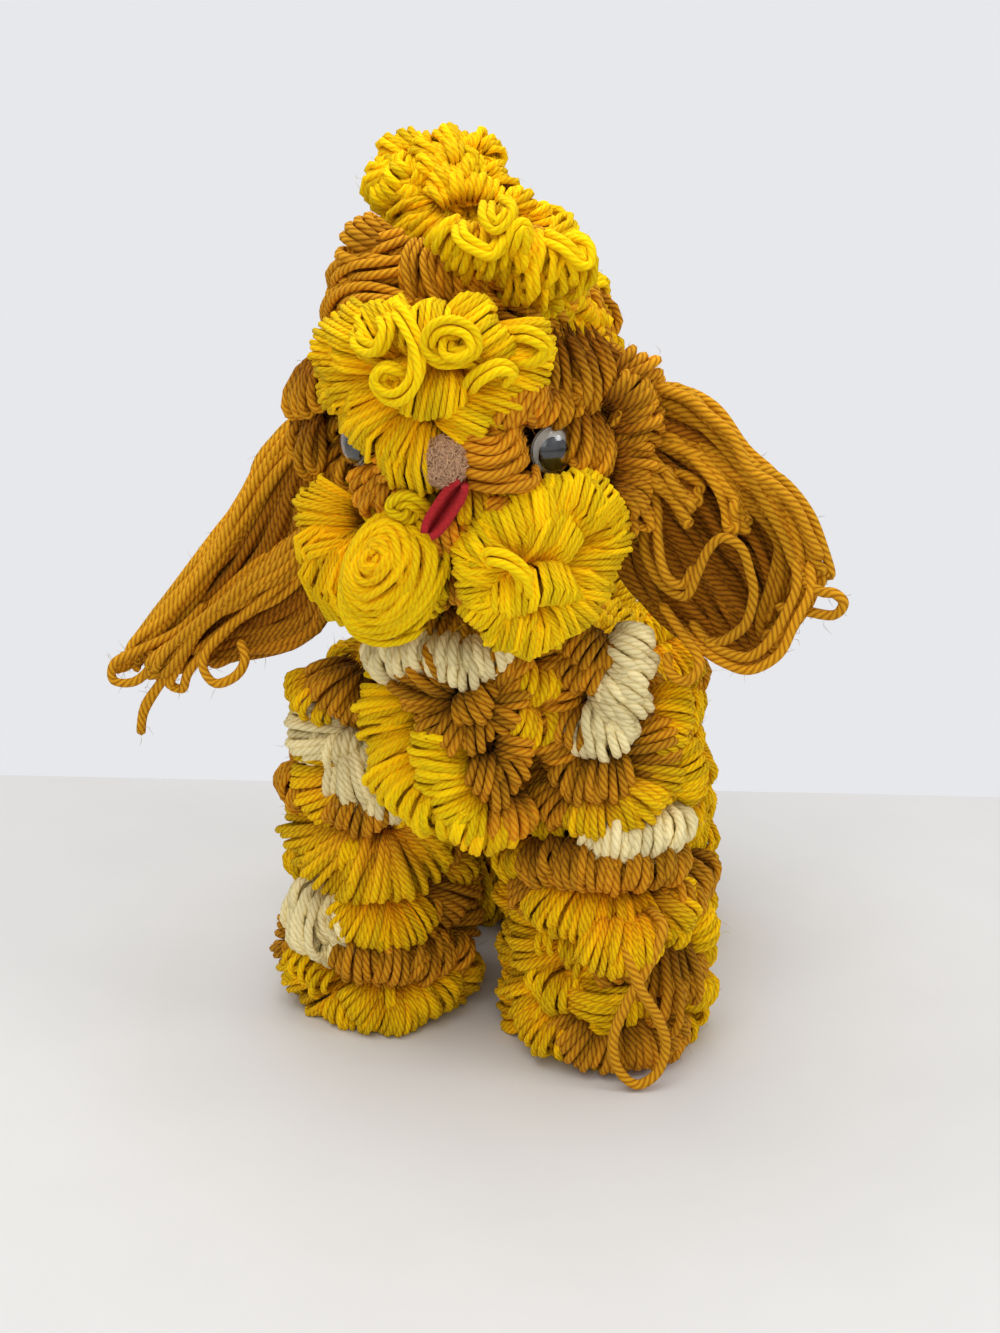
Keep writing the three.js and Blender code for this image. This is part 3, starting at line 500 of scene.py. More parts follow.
def drape(centre, radius, puffs, tone="", depth=11, **form):
    """Puffs that lie on a round wall, each from its root's turn and height to its rim's, with its
    spread. Each has its own letter, or all have that tone."""
    made = []
    for from_turn, from_height, to_turn, to_height, spread, *letter in puffs:
        root = beside(centre, from_turn, from_height, radius - depth)
        tip = beside(centre, to_turn, to_height, radius)
        face = beside(np.zeros(3), (from_turn + to_turn) / 2, 0.2, 1)
        yarn = YARNS[letter[0] if letter else tone]
        made.append(petal(root, tip, face, math.radians(spread), yarn, **form))
    return made


def strewn(turns, heights, tones, count):
    """Puffs for a drape that hang down between those turns and heights, in tones drawn from letters."""
    puffs = []
    for place in range(count):
        turn = turns[0] + (turns[1] - turns[0]) * (place * GOLDEN % 1)
        height = heights[0] + (heights[1] - heights[0]) * (place + 0.5) / count
        fall, sway = draw.uniform(3, 6), draw.normal(0, 14)
        letter = tones[int(draw.integers(len(tones)))]
        puffs.append((turn, height + fall, turn + sway, height - fall, draw.uniform(35, 70), letter))
    return puffs


LEG_TIERS = {
    "front_left": ("ymyvyyyy", "ymyyvyyy", "yvvyyvyy", "mmyvymvm"),
    "front_right": ("yyvyyvyy", "mmyvyymc", "ymmvyyyc", "vmyvyvvv"),
    "hind_left": ("yyvyyyvy", "yvymyvyy", "vyyvyymv", "yvyyvyyv"),
    "hind_right": ("yvyyyvyy", "yyvmyyvy", "vyvyymyv", "yvyyvyyy"),
}
LEG_FRONT_PUFFS = {
    "front_left": (
        (-45, 56, -35, 48, 40, "m"), (-22, 58, -15, 49, 35, "m"), (-6, 59, -3, 50, 35, "m"),
        (9, 59, 9, 49, 35, "m"), (26, 59, 23, 50, 35, "m"), (45, 58, 40, 50, 35, "m"),
        (-75, 51, -66, 44, 50, "v"), (-24, 49, -55, 40, 50, "m"), (-18, 48, -31, 37, 40, "y"),
        (-7, 48, -13, 37, 38, "y"), (6, 48, 2, 35, 38, "y"), (17, 47, 21, 32, 38, "y"),
        (35, 44, 58, 38, 50, "v"), (-11, 32, -60, 31, 60, "y"), (-23, 24, -75, 17, 50, "y"),
        (-42, 20, 10, 26, 40, "y"), (-40, 16, 8, 18, 40, "y"), (-23, 16, -40, 6, 80, "y"),
        (8, 14, -6, 5, 60, "m"), (3, 33, 22, 29, 60, "m"), (52, 38, 48, 12, 25, "m"),
        (27, 16, 37, 4, 70, "m"), (86, 16, 80, 15, 110, "y"), (86, 32, 80, 33, 90, "y"),
        (-60, 20, -92, 22, 70, "y"), (-60, 34, -92, 36, 70, "y"), (-60, 8, -88, 9, 70, "y"),
        (-50, 44, -88, 46, 60, "m"),
    ),
    "front_right": (
        (19, 54, -46, 47, 50, "v"), (19, 54, -16, 38, 50, "v"), (21, 54, 10, 37, 28, "v"),
        (23, 54, 44, 38, 50, "v"), (25, 55, 60, 50, 40, "v"), (-46, 38, -36, 21, 36, "c"),
        (-32, 38, -20, 20, 32, "c"), (18, 36, 6, 26, 60, "y"), (22, 36, 33, 25, 50, "y"),
        (30, 38, 80, 30, 60, "m"), (70, 44, 90, 38, 60, "v"), (3, 27, 5, 17, 45, "m"),
        (27, 26, 24, 16, 45, "m"), (54, 25, 46, 15, 45, "m"), (90, 20, 68, 15, 45, "m"),
        (3, 15, -60, 8, 55, "y"), (26, 12, 16, 3, 90, "y"), (46, 12, 56, 6, 60, "y"),
        (-60, 16, -80, 15, 60, "m"), (62, 34, 92, 33, 60, "m"), (64, 22, 94, 22, 60, "m"),
        (62, 10, 90, 10, 60, "v"),
    ),
}
LOOP_COVER = {"front_left": ((12, 42, 11, 31, 50, "y"), (20, 42, 19, 33, 40, "y"))}
TIER_HEIGHTS = (8.5, 20.5, 33, 45)
TIER_CORE = 9
TIER_LEAN = -0.25
HALF_A_PUFF = 22.5
LEG_MIX = "yyyvvm"
LEG_HEIGHTS = (8, 54)
LEG_FRONT_WALL = 26.5
LEG_BACK_WALL = 25.5
HIND_LEG_WALL = 24.5
COVER_WALL = 32
FRONT_REACH = 15.5
HIND_REACH = 14.5
ALL_ROUND = (0, 360)
BEHIND = (100, 260)
for leg, tiers in LEG_TIERS.items():
    foot = middle(f"{leg}_leg_wadding") * (1, 1, 0)
    reach = FRONT_REACH if leg in LEG_FRONT_PUFFS else HIND_REACH
    puffs = []
    for place, (height, tones) in enumerate(zip(TIER_HEIGHTS, tiers)):
        start = HALF_A_PUFF * (place % 2)
        puffs += tier(foot + UP * height, UP, FRONT, TIER_CORE, reach, tones, TIER_LEAN, start)
    if leg in LEG_FRONT_PUFFS:
        puffs += drape(foot, LEG_FRONT_WALL, LEG_FRONT_PUFFS[leg])
        puffs += drape(foot, LEG_BACK_WALL, strewn(BEHIND, LEG_HEIGHTS, LEG_MIX, count=18))
    else:
        puffs += drape(foot, HIND_LEG_WALL, strewn(ALL_ROUND, LEG_HEIGHTS, LEG_MIX, count=34))
    puffs += drape(foot, COVER_WALL, LOOP_COVER.get(leg, ()))
    spin(f"{leg}_leg_winding", puffs, "variegated_yarn", "body", f"{leg}_leg_strip")

# Shoulders and hips: bigger puffs of the same strip where the legs meet the body, wound on in wider
# turns and closed above by a cap of loops.
HAUNCH_TIERS = {
    "front_left": ("mcyvyymv", "vvyyvymm", "mcyyvvvm", "ymyyvym"),
    "front_right": ("vvyyvyvm", "cyyyvymc", "mvyyvvmm", "mvyyvvm"),
    "hind_left": ("yyvyyvyy", "vyyvyyyv", "yvyyyvyy", "yyvyyvy"),
    "hind_right": ("yvyyvyyv", "yyvyyvyy", "vyyyvyyv", "yvyyvyy"),
}


def mop(centre, radii, tones, count, core=0.45, spread=70, lay=0.0, towards=None, **form):
    """Small puffs all over a rounded tuft, in tones drawn from the letters, each turned at random.
    Lay puts their roots aside from their rims, so that they lie along the tuft. Towards leaves out
    the puffs that face away from that direction."""
    radii = np.asarray(radii, float)
    puffs = []
    for place in range(count):
        height = 1 - 2 * (place + 0.5) / count
        turn = place * math.pi * (3 - math.sqrt(5))
        flat = math.sqrt(1 - height * height)
        out = np.array((flat * math.cos(turn), flat * math.sin(turn), height))
        letter = tones[int(draw.integers(len(tones)))]
        aside = unit(np.cross(out, draw.normal(0, 1, 3)))
        length = draw.normal(1, 0.06)
        if towards is not None and out @ np.asarray(towards) < -0.3:
            continue
        root = centre + unit(out + aside * lay) * radii * core
        tip = centre + out * radii * length
        face = out if lay else aside
        puffs.append(petal(root, tip, face, math.radians(spread), YARNS[letter], **form))
    return puffs


HAUNCH_FRONT_PUFFS = {
    "front_left": (
        (-7, 79, -11, 70, 40, "m"), (1, 79, 4, 71, 35, "m"), (1, 77, 42, 83, 45, "m"),
        (3, 74, 46, 73, 42, "v"), (3, 71, 31, 66, 45, "v"), (-1, 70, 6, 62, 70, "v"),
        (-20, 73, -41, 65, 60, "m"), (11, 64, 12, 57, 55, "c"), (30, 64, 27, 57, 55, "c"),
        (49, 64, 46, 58, 45, "c"), (35, 86, 52, 86, 70, "y"), (66, 72, 64, 74, 100, "y"),
        (0, 102, 18, 101, 60, "c"), (0, 99, 20, 96, 50, "c"), (-6, 95, 17, 92, 50, "c"),
        (-6, 92, 16, 87, 50, "c"), (-2, 88, 6, 82, 50, "c"), (-7, 89, -3, 85, 40, "c"),
        (-3, 106, -10, 103, 40, "m"), (-3, 102, -13, 97, 40, "m"), (-14, 90, -17, 83, 40, "m"),
    ),
    "front_right": (
        (7, 92, -12, 85, 60, "m"), (-20, 88, -32, 83, 50, "v"), (6, 76, -40, 76, 45, "c"),
        (-10, 74, 8, 61, 50, "c"), (23, 66, 29, 58, 50, "c"), (6, 65, -37, 63, 70, "v"),
        (6, 63, -1, 55, 60, "m"),
    ),
}
# Each turn's height, the radius where it is tied, its loops' reach and their lean
SHOULDER_TURNS = ((58, 9, 14, -0.1), (70, 8, 14, -0.1), (79, 7, 10, 0), (85, 3, 9, 0.45))
HIP_TURNS = ((57, 9, 12, -0.1), (67, 8, 12.5, -0.1), (77, 7, 10, 0), (84, 3, 9, 0.3))
CAP_RADII = (9, 9, 6)
SHOULDER_FRONT_WALL = 25
SHOULDER_BACK_WALL = 21.5
HIP_WALL = 20.5
SHOULDER_HEIGHTS = (58, 76)
HIP_HEIGHTS = (57, 80)
for leg, tiers in HAUNCH_TIERS.items():
    joint = leg + ("_shoulder" if leg in HAUNCH_FRONT_PUFFS else "_hip")
    foot = middle(f"{leg}_leg_wadding") * (1, 1, 0)
    puffs = []
    turns = SHOULDER_TURNS if leg in HAUNCH_FRONT_PUFFS else HIP_TURNS
    for place, ((height, inner, reach, lean), tones) in enumerate(zip(turns, tiers)):
        start = HALF_A_PUFF * (place % 2)
        puffs += tier(foot + UP * height, UP, FRONT, inner, reach, tones, lean, start)
    if leg in HAUNCH_FRONT_PUFFS:
        puffs += drape(foot, SHOULDER_FRONT_WALL, HAUNCH_FRONT_PUFFS[leg])
        puffs += drape(foot, SHOULDER_BACK_WALL, strewn(BEHIND, SHOULDER_HEIGHTS, LEG_MIX, count=10))
    else:
        puffs += drape(foot, HIP_WALL, strewn(ALL_ROUND, HIP_HEIGHTS, LEG_MIX, count=20))
    puffs += mop(foot + UP * turns[-1][0], CAP_RADII, "yyv", count=12, core=0.3, towards=UP)
    spin(f"{joint}_puffs", puffs, "variegated_yarn", "body", f"{joint}_tuft")

# Body: turns of the same strip round the long roll of wadding, behind the shoulders, each turn pushed
# up against the one before it.
BODY_CORE = 15
BODY_REACH = 14
BODY_LEAN = 0.35
HALF_A_BODY_PUFF = 20
BODY_TIERS = ("yvyymyvyy", "vyyvyyymy", "ymvyyvyyv", "yvyyvvyvy", "vyyvyymyy", "yyvyyvyvy", "yvyyvyymy")
LENGTHWAYS = np.array((0.0, 1.0, 0.0))
body_middle = middle("body_wadding")
body_low, body_high = (np.array(corner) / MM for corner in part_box("body_strip"))
puffs = []
for turn, tones in enumerate(BODY_TIERS):
    along = body_low[1] + (body_high[1] - body_low[1]) * (turn + 0.2) / len(BODY_TIERS)
    ring = np.array((body_middle[0], along, body_middle[2]))
    start = HALF_A_BODY_PUFF * (turn % 2)
    puffs += tier(ring, LENGTHWAYS, UP, BODY_CORE, BODY_REACH, tones, BODY_LEAN, start, plump=5, width=8)
spin("body_winding", puffs, "variegated_yarn", "body", "body_strip")

# Chest: a brown rosette under a row of cream loops, and a big yellow tuft hanging below it. Both are
# bunches of gathered yarn, tied on over the front of the body.
chest_middle = np.array((*middle("neck_wadding")[:2], body_middle[2]))
CHEST = 30
rosette_puffs = drape(chest_middle, CHEST, (
    (-47, 20, -46, 14, 50, "c"), (-30, 23, -30, 18, 45, "c"), (-18, 24, -17, 19, 40, "c"),
    (-6, 24, -5, 19, 40, "c"), (3, 23, 4, 16, 36, "c"), (10, 24, 14, 20, 40, "c"),
    (74, 26, 49, 24, 45, "m"), (76, 21, 48, 19, 45, "m"), (76, 18, 47, 16, 45, "m"),
    (76, 11, 47, 11, 45, "m"), (76, 5, 47, 5, 45, "m"), (72, 0, 47, -1, 45, "m"),
    (42, 18, 39, 12, 40, "v"), (41, 9, 37, 2, 40, "v"),
))
rosette_puffs += drape(chest_middle, CHEST, (
    (2, 10, -19, 18, 12), (3, 10, -8, 21, 12), (8, 10, 21, 23, 12), (9, 10, 29, 19, 12),
    (9, 9, 31, 14, 12), (9, 8, 26, 6, 12), (2, 8, -24, 9, 12), (2, 9, -31, 14, 12), (2, 7, -15, 3, 12),
    (4, 7, -3, 1, 12), (6, 7, 9, 1, 12), (2, 12, 10, 9, 40), (17, -1, 30, 0, 12), (17, -2, 28, -7, 12),
    (15, -3, 20, -13, 12), (14, -2, 12, -9, 12),
), "m", depth=9, width=4.5, plump=3.4, wave=0)
spin("chest_rosette_loops", rosette_puffs, "variegated_yarn", "body", "chest_rosette")
breast_puffs = drape(chest_middle, CHEST, (
    (-32, 8, -66, 4, 45, "t"), (-28, 2, -66, -5, 45, "t"), (-26, -4, -54, -14, 45, "t"),
    (-22, -8, -32, -17, 45, "t"), (-14, -12, -13, -20, 45, "t"), (10, -3, -18, -1, 40, "t"),
    (11, -8, -14, -6, 40, "t"), (12, -12, -6, -14, 45, "t"), (8, -14, 3, -21, 50, "t"),
    (22, -14, 24, -20, 45, "m"), (14, -16, 12, -23, 60, "v"),
))
spin("chest_tuft_loops", breast_puffs, "yellow_yarn", "body", "chest_tuft")

# Neck: one turn of mustard strip between the body and the head. It is wound round the wadding of the
# upright end of the spine, on which the head turns.
neck_middle = middle("neck_wadding") * (1, 1, 0) + UP * middle("neck_strip")[2]
NECK_REACH = 13.5
NECK_FRONT_WALL = 25
NECK_BACK_WALL = 22
NECK_BACK = (70, 290)
NECK_HEIGHTS = (-9, 3)
neck_puffs = tier(neck_middle, UP, FRONT, TIER_CORE, NECK_REACH, "mmmmmmmmm", lean=-0.1)
neck_puffs += drape(neck_middle, NECK_FRONT_WALL, (
    (-8, 6, -6, -4, 60), (12, 6, 14, -5, 60), (-30, 4, -32, -4, 60),
), "m")
neck_puffs += drape(neck_middle, NECK_BACK_WALL, strewn(NECK_BACK, NECK_HEIGHTS, "m", count=14))
spin("neck_winding", neck_puffs, "mustard_yarn", "body", "neck_strip")

# Rump: a round tuft of loops that closes the body's back end, tied on over the last turn of the
# body's strip.
RUMP_RADII = (20, 11, 22)
rump_middle = middle("rump_tuft")
rump_puffs = mop(rump_middle, RUMP_RADII, "yvym", count=26, core=0.3, towards=LENGTHWAYS, plump=4)
spin("rump_loops", rump_puffs, "variegated_yarn", "body", "rump_tuft")

# Head: mustard strip wound in tiers round the head's wadding, with room for the eyes. Bundles of
# the same loops are combed down beside the left eye and over the forehead.
head_middle = middle("head_wadding")
ROPE_LAY = 9
HEAD_SIDE_WALL = 34
HEAD_BACK_WALL = 32
HEAD_BACK = (105, 255)
HEAD_HEIGHTS = (-26, 30)
FOREHEAD_WALL = 30
EYE_SIDE_WALL = 35
ROPE_WALL = 32
STRAND_WALL = 31.5
LEFT_TEMPLE_WALL = 42
RIGHT_TEMPLE_WALL = 40
# Each turn's height, the radius where it is tied, its loops' reach, their tones, lean and start
HEAD_TIERS = (
    (-27, 12, 16, "hhhhhhhhhhh", -0.3, 0),
    (-14, 15, 15.5, "hhhhhhhhhhh", -0.25, 10),
    (-2.5, 16, 14.5, "h hhhhhhhh h", 0, 13.5),
    (9, 16, 14.5, "hhhhhhhhhhhh", 0.25, 0),
    (20, 13, 15.5, "hhhhhhhhhhh", 0.2, 12),
    (30, 9, 15, "hhhhhhhhh", 0.35, 0),
)


def ringlet(centre, radius, way, tone, strands=3, width=1.2, thick=0.98):
    """A bundle of strands along a way on a round wall, each point its turn, height and stand-off."""
    line = smooth_line([beside(centre, turn, height, radius + off) for turn, height, off in way], steps=6)
    heading = unit(np.gradient(line, axis=0))
    outward = unit((line - centre) * (1, 1, 0))
    side = unit(np.cross(heading, outward))
    lift = np.cross(side, heading)
    run = np.linalg.norm(np.diff(line, axis=0, prepend=line[:1]), axis=1).cumsum()[:, None]
    angle = run / ROPE_LAY + np.arange(strands)[:, None, None] * 2 * math.pi / strands
    points = line + width * (side * np.cos(angle) + lift * np.sin(angle))
    own = draw.uniform(0.93, 1.07, (strands, 1, 1))
    return points, np.broadcast_to(tone, points.shape) * own, thick


head_puffs = []
for height, inner, reach, tones, lean, start in HEAD_TIERS:
    ring = head_middle + UP * height
    head_puffs += tier(ring, UP, FRONT, inner, reach, tones, lean, start, plump=4)
head_puffs += drape(head_middle, HEAD_SIDE_WALL, (
    (-26, 34, -42, 38, 50), (84, 2, 97, -3, 70), (84, -6, 97, -12, 60), (84, 10, 95, 8, 60),
    (-70, 4, -80, 0, 55), (-70, -6, -78, -11, 55), (-66, -2, -72, -14, 55), (-40, 18, -66, 14, 45),
    (44, 14, 45, 5, 45),
), "h")
head_puffs += drape(head_middle, HEAD_BACK_WALL, strewn(HEAD_BACK, HEAD_HEIGHTS, "h", count=30))
head_puffs += drape(head_middle, FOREHEAD_WALL, (
    (-3, 36, -3, 30, 40), (1, 37, 6, 30, 45), (7, 36, 13, 31, 45), (-12, 36, -10, 31, 40),
    (-2, 31, 18, 28, 40), (6, 26, 34, 23, 40), (-2, 29, 8, 23, 45), (28, 24, 46, 19, 45),
), "h")
head_puffs += drape(head_middle, EYE_SIDE_WALL, (
    (46, 23, 51, 7, 10), (56, 22, 61, 5, 10), (66, 19, 70, 2, 12), (74, 5, 60, -9, 12),
    (60, 8, 55, -8, 12), (70, 7, 62, -9, 12),
), "h", depth=5, width=7, plump=3)
FOREHEAD_ROPES = (
    ((-2, 25, -4), (-14, 27, 0), (-28, 29, 1), (-42, 28, 1), (-56, 24, 0), (-66, 19, -3)),
    ((-10, 22, -4), (-22, 23, 0), (-38, 23, 1), (-54, 19, 1), (-66, 13, -2)),
    ((-14, 34, -5), (-24, 34, -1), (-36, 34, 0), (-48, 32, 0), (-58, 28, -3)),
    ((-24, 39, -9), (-31, 38, -4), (-40, 36, -2), (-50, 33, -2), (-58, 29, -4)),
)
# The ropes' mustard is lightened by painted light, as the head's h yarn is
head_puffs += [
    ringlet(head_middle, ROPE_WALL, way, MUSTARD * 1.08, strands=5, width=2.1) for way in FOREHEAD_ROPES
]
FOREHEAD_STRANDS = (
    ((-13, 40, -6), (-12, 37, 0), (-11, 32, 1), (-10, 27, 0), (-10, 23, -4)),
    ((-6, 39, -6), (-5, 36, 0), (-3, 31, 1), (1, 26, 0), (3, 23, -4)),
)
head_puffs += [
    ringlet(head_middle, STRAND_WALL, way, MUSTARD, strands=2, width=0.8, thick=0.84)
    for way in FOREHEAD_STRANDS
]
head_puffs += drape(head_middle, LEFT_TEMPLE_WALL, (
    (66, 4, 74, 9, 50), (67, -1, 79, 3, 50), (66, -6, 78, -5, 50), (68, 9, 80, 12, 50),
    (66, -10, 76, -13, 50), (72, 0, 83, -1, 50), (72, 6, 84, 8, 50), (70, -12, 82, -18, 50),
), "h", depth=8, width=4, plump=2.4)
head_puffs += drape(head_middle, RIGHT_TEMPLE_WALL, (
    (-62, 16, -68, 2, 14), (-70, 16, -77, 1, 14), (-66, 4, -72, -12, 14), (-76, 5, -82, -10, 14),
    (-80, 14, -88, 2, 20),
), "h", depth=6, width=6, plump=2.6)
spin("head_winding", head_puffs, "mustard_yarn", "head", "head_strip")

# Topknot and crest: dense tufts of short bright loops. The topknot slopes down to the left from
# its highest lumps, and the crest goes on from there down the back of the head.
# Lumps by their places on the head, radii and counts of puffs, and fans by their roots, rims and spread
TOPKNOT_LUMPS = (
    ((-12, -4, 48), (8, 9, 8), 16), ((-3, -3, 48), (9, 10, 9), 18), ((6, -4, 38), (10, 10, 8), 18),
    ((15, -4, 31.5), (7.5, 9, 7.5), 16), ((-3, 9, 41), (12, 10, 9), 18),
)
TOPKNOT_FANS = (
    ((-12, -9, 53), (-22, -6, 52), 40), ((-11, -8, 54), (-19, -4, 58), 40),
    ((-9, -8, 55), (-15, -4, 59), 36), ((-7, -12, 50), (-18, -9, 48), 34),
    ((-5, -14, 47), (-18, -11, 43), 36), ((-3, -15, 46), (-12, -14, 40), 40),
    ((-2, -16, 45), (-6, -16, 37), 40), ((-2, -9, 55), (-8, -4, 60), 50),
    ((-1, -8, 55), (-4, -2, 60), 50), ((-2, -12, 52), (-6, -9, 57), 40),
    ((0, -15, 48), (-4, -12, 53), 40), ((1, -16, 46), (-1, -14, 51), 36),
    ((3, -16, 46), (3, -13, 51), 36), ((7, -14, 45), (8, -9, 49), 40), ((4, -9, 51), (6, -3, 52), 44),
    ((1, -6, 56), (2, -1, 58), 50), ((10, -12, 43), (14, -6, 44), 44),
    ((13, -12, 40), (19, -6, 40), 40), ((15, -14, 36), (25, -8, 36), 36),
    ((15, -14, 34), (26, -9, 32), 36), ((14, -14, 33), (25, -10, 28), 34),
    ((7, -17, 36), (5, -18, 29), 40), ((10, -17, 35), (11, -18, 28), 40),
    ((14, -16, 34), (17, -16, 27), 40), ((5, -17, 42), (2, -18, 35), 44),
    ((8, -15, 41), (11, -14, 42), 60), ((0, 5, 50), (-19, 11, 45), 60), ((0, 7, 48), (-8, 19, 42), 60),
    ((2, 7, 47), (6, 18, 40), 60), ((4, 5, 43), (18, 11, 36), 60), ((2, 2, 50), (-1, 9, 58), 80),
    ((-4, 0, 52), (-13, 4, 58), 70), ((8, 0, 43), (22, 3, 36), 60), ((-6, -4, 46), (-21, 0, 42), 60),
)
TOPKNOT_CORE = np.array((-1.0, -2.0, 41.0))
CLOSE_PLUMP = 2.8
TOPKNOT_FRONT_WALL = 36
TOPKNOT_CURL_WALL = 37


def lumpy(lumps, tones):
    """Close puffs all over some lumps, each its place on the head, its radii and its count of puffs."""
    puffs = []
    for place, radii, count in lumps:
        form = dict(core=0.75, spread=60, lay=1.1, plump=CLOSE_PLUMP, width=5)
        puffs += mop(head_middle + place, radii, tones, count, **form)
    return puffs


topknot_puffs = lumpy(TOPKNOT_LUMPS, "t")
for fan_root, fan_tip, fan_spread in TOPKNOT_FANS:
    fan_face = (np.array(fan_root) + fan_tip) / 2 - TOPKNOT_CORE
    topknot_puffs.append(petal(
        head_middle + fan_root, head_middle + fan_tip, fan_face, math.radians(fan_spread), YARNS["t"],
        plump=CLOSE_PLUMP, roll=1.4, edge=0.1, wave=0.2,
    ))
topknot_puffs += drape(head_middle, TOPKNOT_FRONT_WALL, (
    (12, 43, 8, 38, 60), (18, 43, 14, 36, 50), (21, 44, 25, 35, 45), (33, 43, 27, 34, 50),
    (36, 40, 42, 32, 45), (49, 41, 45, 32, 50), (30, 40, 36, 30, 40),
), "t", depth=7, plump=3.2, roll=1.4, edge=0.15, wave=0.45, loose=1.6)
TOPKNOT_CURLS = (
    ((8, 43, -3), (9, 41, 2), (13, 39, 3), (17, 38, 3), (20, 40, 2), (22, 42, -3)),
    ((17, 47, -4), (16, 45, 1), (18, 43, 2), (21, 44, 2), (23, 46, 1), (22, 48, -4)),
    ((22, 37, -3), (23, 40, 2), (24, 42, 3), (26, 43, 3), (27, 40, 2), (26, 36, -3)),
    ((36, 41, -3), (39, 39, 2), (43, 36, 3), (46, 36, 3), (47, 39, 2), (45, 41, -3)),
)
topknot_puffs += [
    ringlet(head_middle, TOPKNOT_CURL_WALL, way, YELLOW, width=1.0, thick=0.9) for way in TOPKNOT_CURLS
]
spin("topknot_loops", topknot_puffs, "yellow_yarn", "head", "topknot")
CREST_LUMPS = (
    ((16, -13, 29), (7.5, 8, 6), 14), ((18.5, -5, 24), (7, 9, 6.5), 14),
    ((22.5, 4, 17), (6.5, 9, 7), 14), ((26, 11, 10), (6, 9, 6.5), 14), ((18, 16, 22), (8, 9, 10), 14),
    ((21, 20, 3), (9, 9, 10), 16),
)
spin("crest_loops", lumpy(CREST_LUMPS, "ttv"), "yellow_yarn", "head", "crest_tuft")

# Brow: a wide yellow tuft over the face. A fan of it droops over the right eye, smaller ones point
# to the left, and loose curls of a few strands lie on top.
BROW = 44
brow_puffs = drape(head_middle, BROW, (
    (-10, 17, -39, 19, 26), (-9, 15, -40, 15, 24), (-8, 14, -35, 12, 24), (-7, 12, -28, 9, 24),
    (-6, 11, -21, 6, 26), (-5, 10, -14, 1, 28), (-4, 8, -6, -4, 24), (-11, 17, -33, 20, 26),
    (-11, 18, -23, 22, 34), (-8, 18, -12, 23, 45), (0, 18, 0, 23, 50), (8, 19, 12, 23, 50),
    (0, 16, -2, 13, 80),
), "f", depth=9, plump=5.5, roll=1.9, edge=0.08, loose=0.3)
brow_puffs += drape(head_middle, BROW, (
    (12, 20, 30, 21, 20), (12, 18, 29, 17, 20), (3, 15, 25, 13, 22), (2, 12, 21, 10, 22),
    (-1, 9, 12, 7, 36),
), "f", depth=7, width=5, plump=3.8, roll=1.5, edge=0.08, loose=0.3)
BROW_CURLS = (
    ((15, 16, -5), (11, 18.5, 0), (4, 18.5, 2), (1, 21, 3), (3, 24.5, 4), (7, 25.5, 4), (11, 24, 4),
     (12, 21, 4), (9, 19.5, 4), (6, 20, 3), (6, 22, 2), (8, 22, 0)),
    ((-10, 28, -4), (-6, 27, 1), (-3, 24, 3), (-1, 20, 4), (-1, 15, 5), (-4, 12, 5), (-8, 11.5, 4),
     (-11, 14, 4), (-9, 16.5, 4), (-6, 15.5, 2), (-6, 13, -1)),
    ((-19, 24, -3), (-17, 21.5, 2), (-13, 20, 3), (-10, 21, 4), (-9, 24, 3), (-11, 26, 0)),
    ((10, 12, -3), (13, 15, 2), (18, 17, 3), (21, 16, 2), (20, 14, -1)),
    ((22, 23, -4), (26, 23, 1), (30, 20.5, 1), (27, 18, 0), (22, 18, -3)),
)
brow_puffs += [ringlet(head_middle, BROW, way, YELLOW, width=1.1, thick=0.9) for way in BROW_CURLS]
spin("brow_loops", brow_puffs, "yellow_yarn", "head", "brow_tuft")

# Muzzle: mustard loops combed sideways from the nose, paler at their ends beside the mouth. They are
# tied on in front of the head's strip, with one yellow curl beside the tongue.
MUZZLE = 38
MUZZLE_ROPE_WALL = 40
muzzle_puffs = drape(head_middle, MUZZLE, (
    (32, 3, 8, 1, 26, "h"), (31, 1, 9, -4, 26, "h"), (32, 4, 14, 8, 30, "h"), (33, 5, 25, 11, 36, "h"),
    (35, 13, 27, 7, 36, "h"), (33, -8, 13, -7, 26, "h"), (34, -11, 15, -11, 26, "h"),
    (11, -5, 15, -15, 36, "v"), (19, -9, 23, -16, 40, "v"), (-17, -7, -27, -14, 40, "h"),
    (-12, -6, -18, -13, 40, "h"), (0, -16, 2, -20, 60, "h"), (-6, -4, -19, -5, 35, "h"),
), depth=7)
MUZZLE_ROPES = (
    ((5, 1, -3), (10, 2, 1), (15, 1, 2), (19, 1, 1), (23, 3, -1), (26, 5, -6)),
    ((5, -1, -3), (10, 0, 1), (15, -1, 2), (20, -1, 1), (24, 0, -1), (27, 2, -6)),
    ((5, -3, -3), (10, -3, 1), (15, -4, 2), (20, -4, 1), (25, -3, -1), (29, -2, -6)),
    ((7, -6, -3), (12, -6, 0), (18, -7, 1), (24, -7, 1), (29, -7, -1), (33, -6, -6)),
    ((34, 13, -5), (30, 11, 0), (27, 9, 1), (24, 6, 0), (22, 4, -4)),
    ((31, 13, -5), (28, 12, 0), (24, 9, 1), (22, 6, 0), (20, 4, -4)),
    ((28, 12, -5), (25, 11, 0), (21, 8, 1), (19, 6, 0), (18, 4, -4)),
)
muzzle_puffs += [ringlet(head_middle, MUZZLE_ROPE_WALL, way, MUSTARD) for way in MUZZLE_ROPES]
MOUTH_CURL = ((-2, -15, -3), (-4, -11, 2), (-8, -10, 3), (-12, -12, 3), (-9, -14, 2), (-6, -12.5, 0))
muzzle_puffs.append(ringlet(head_middle, MUZZLE, MOUTH_CURL, YELLOW))
spin("muzzle_loops", muzzle_puffs, "variegated_yarn", "head", "muzzle_tuft")

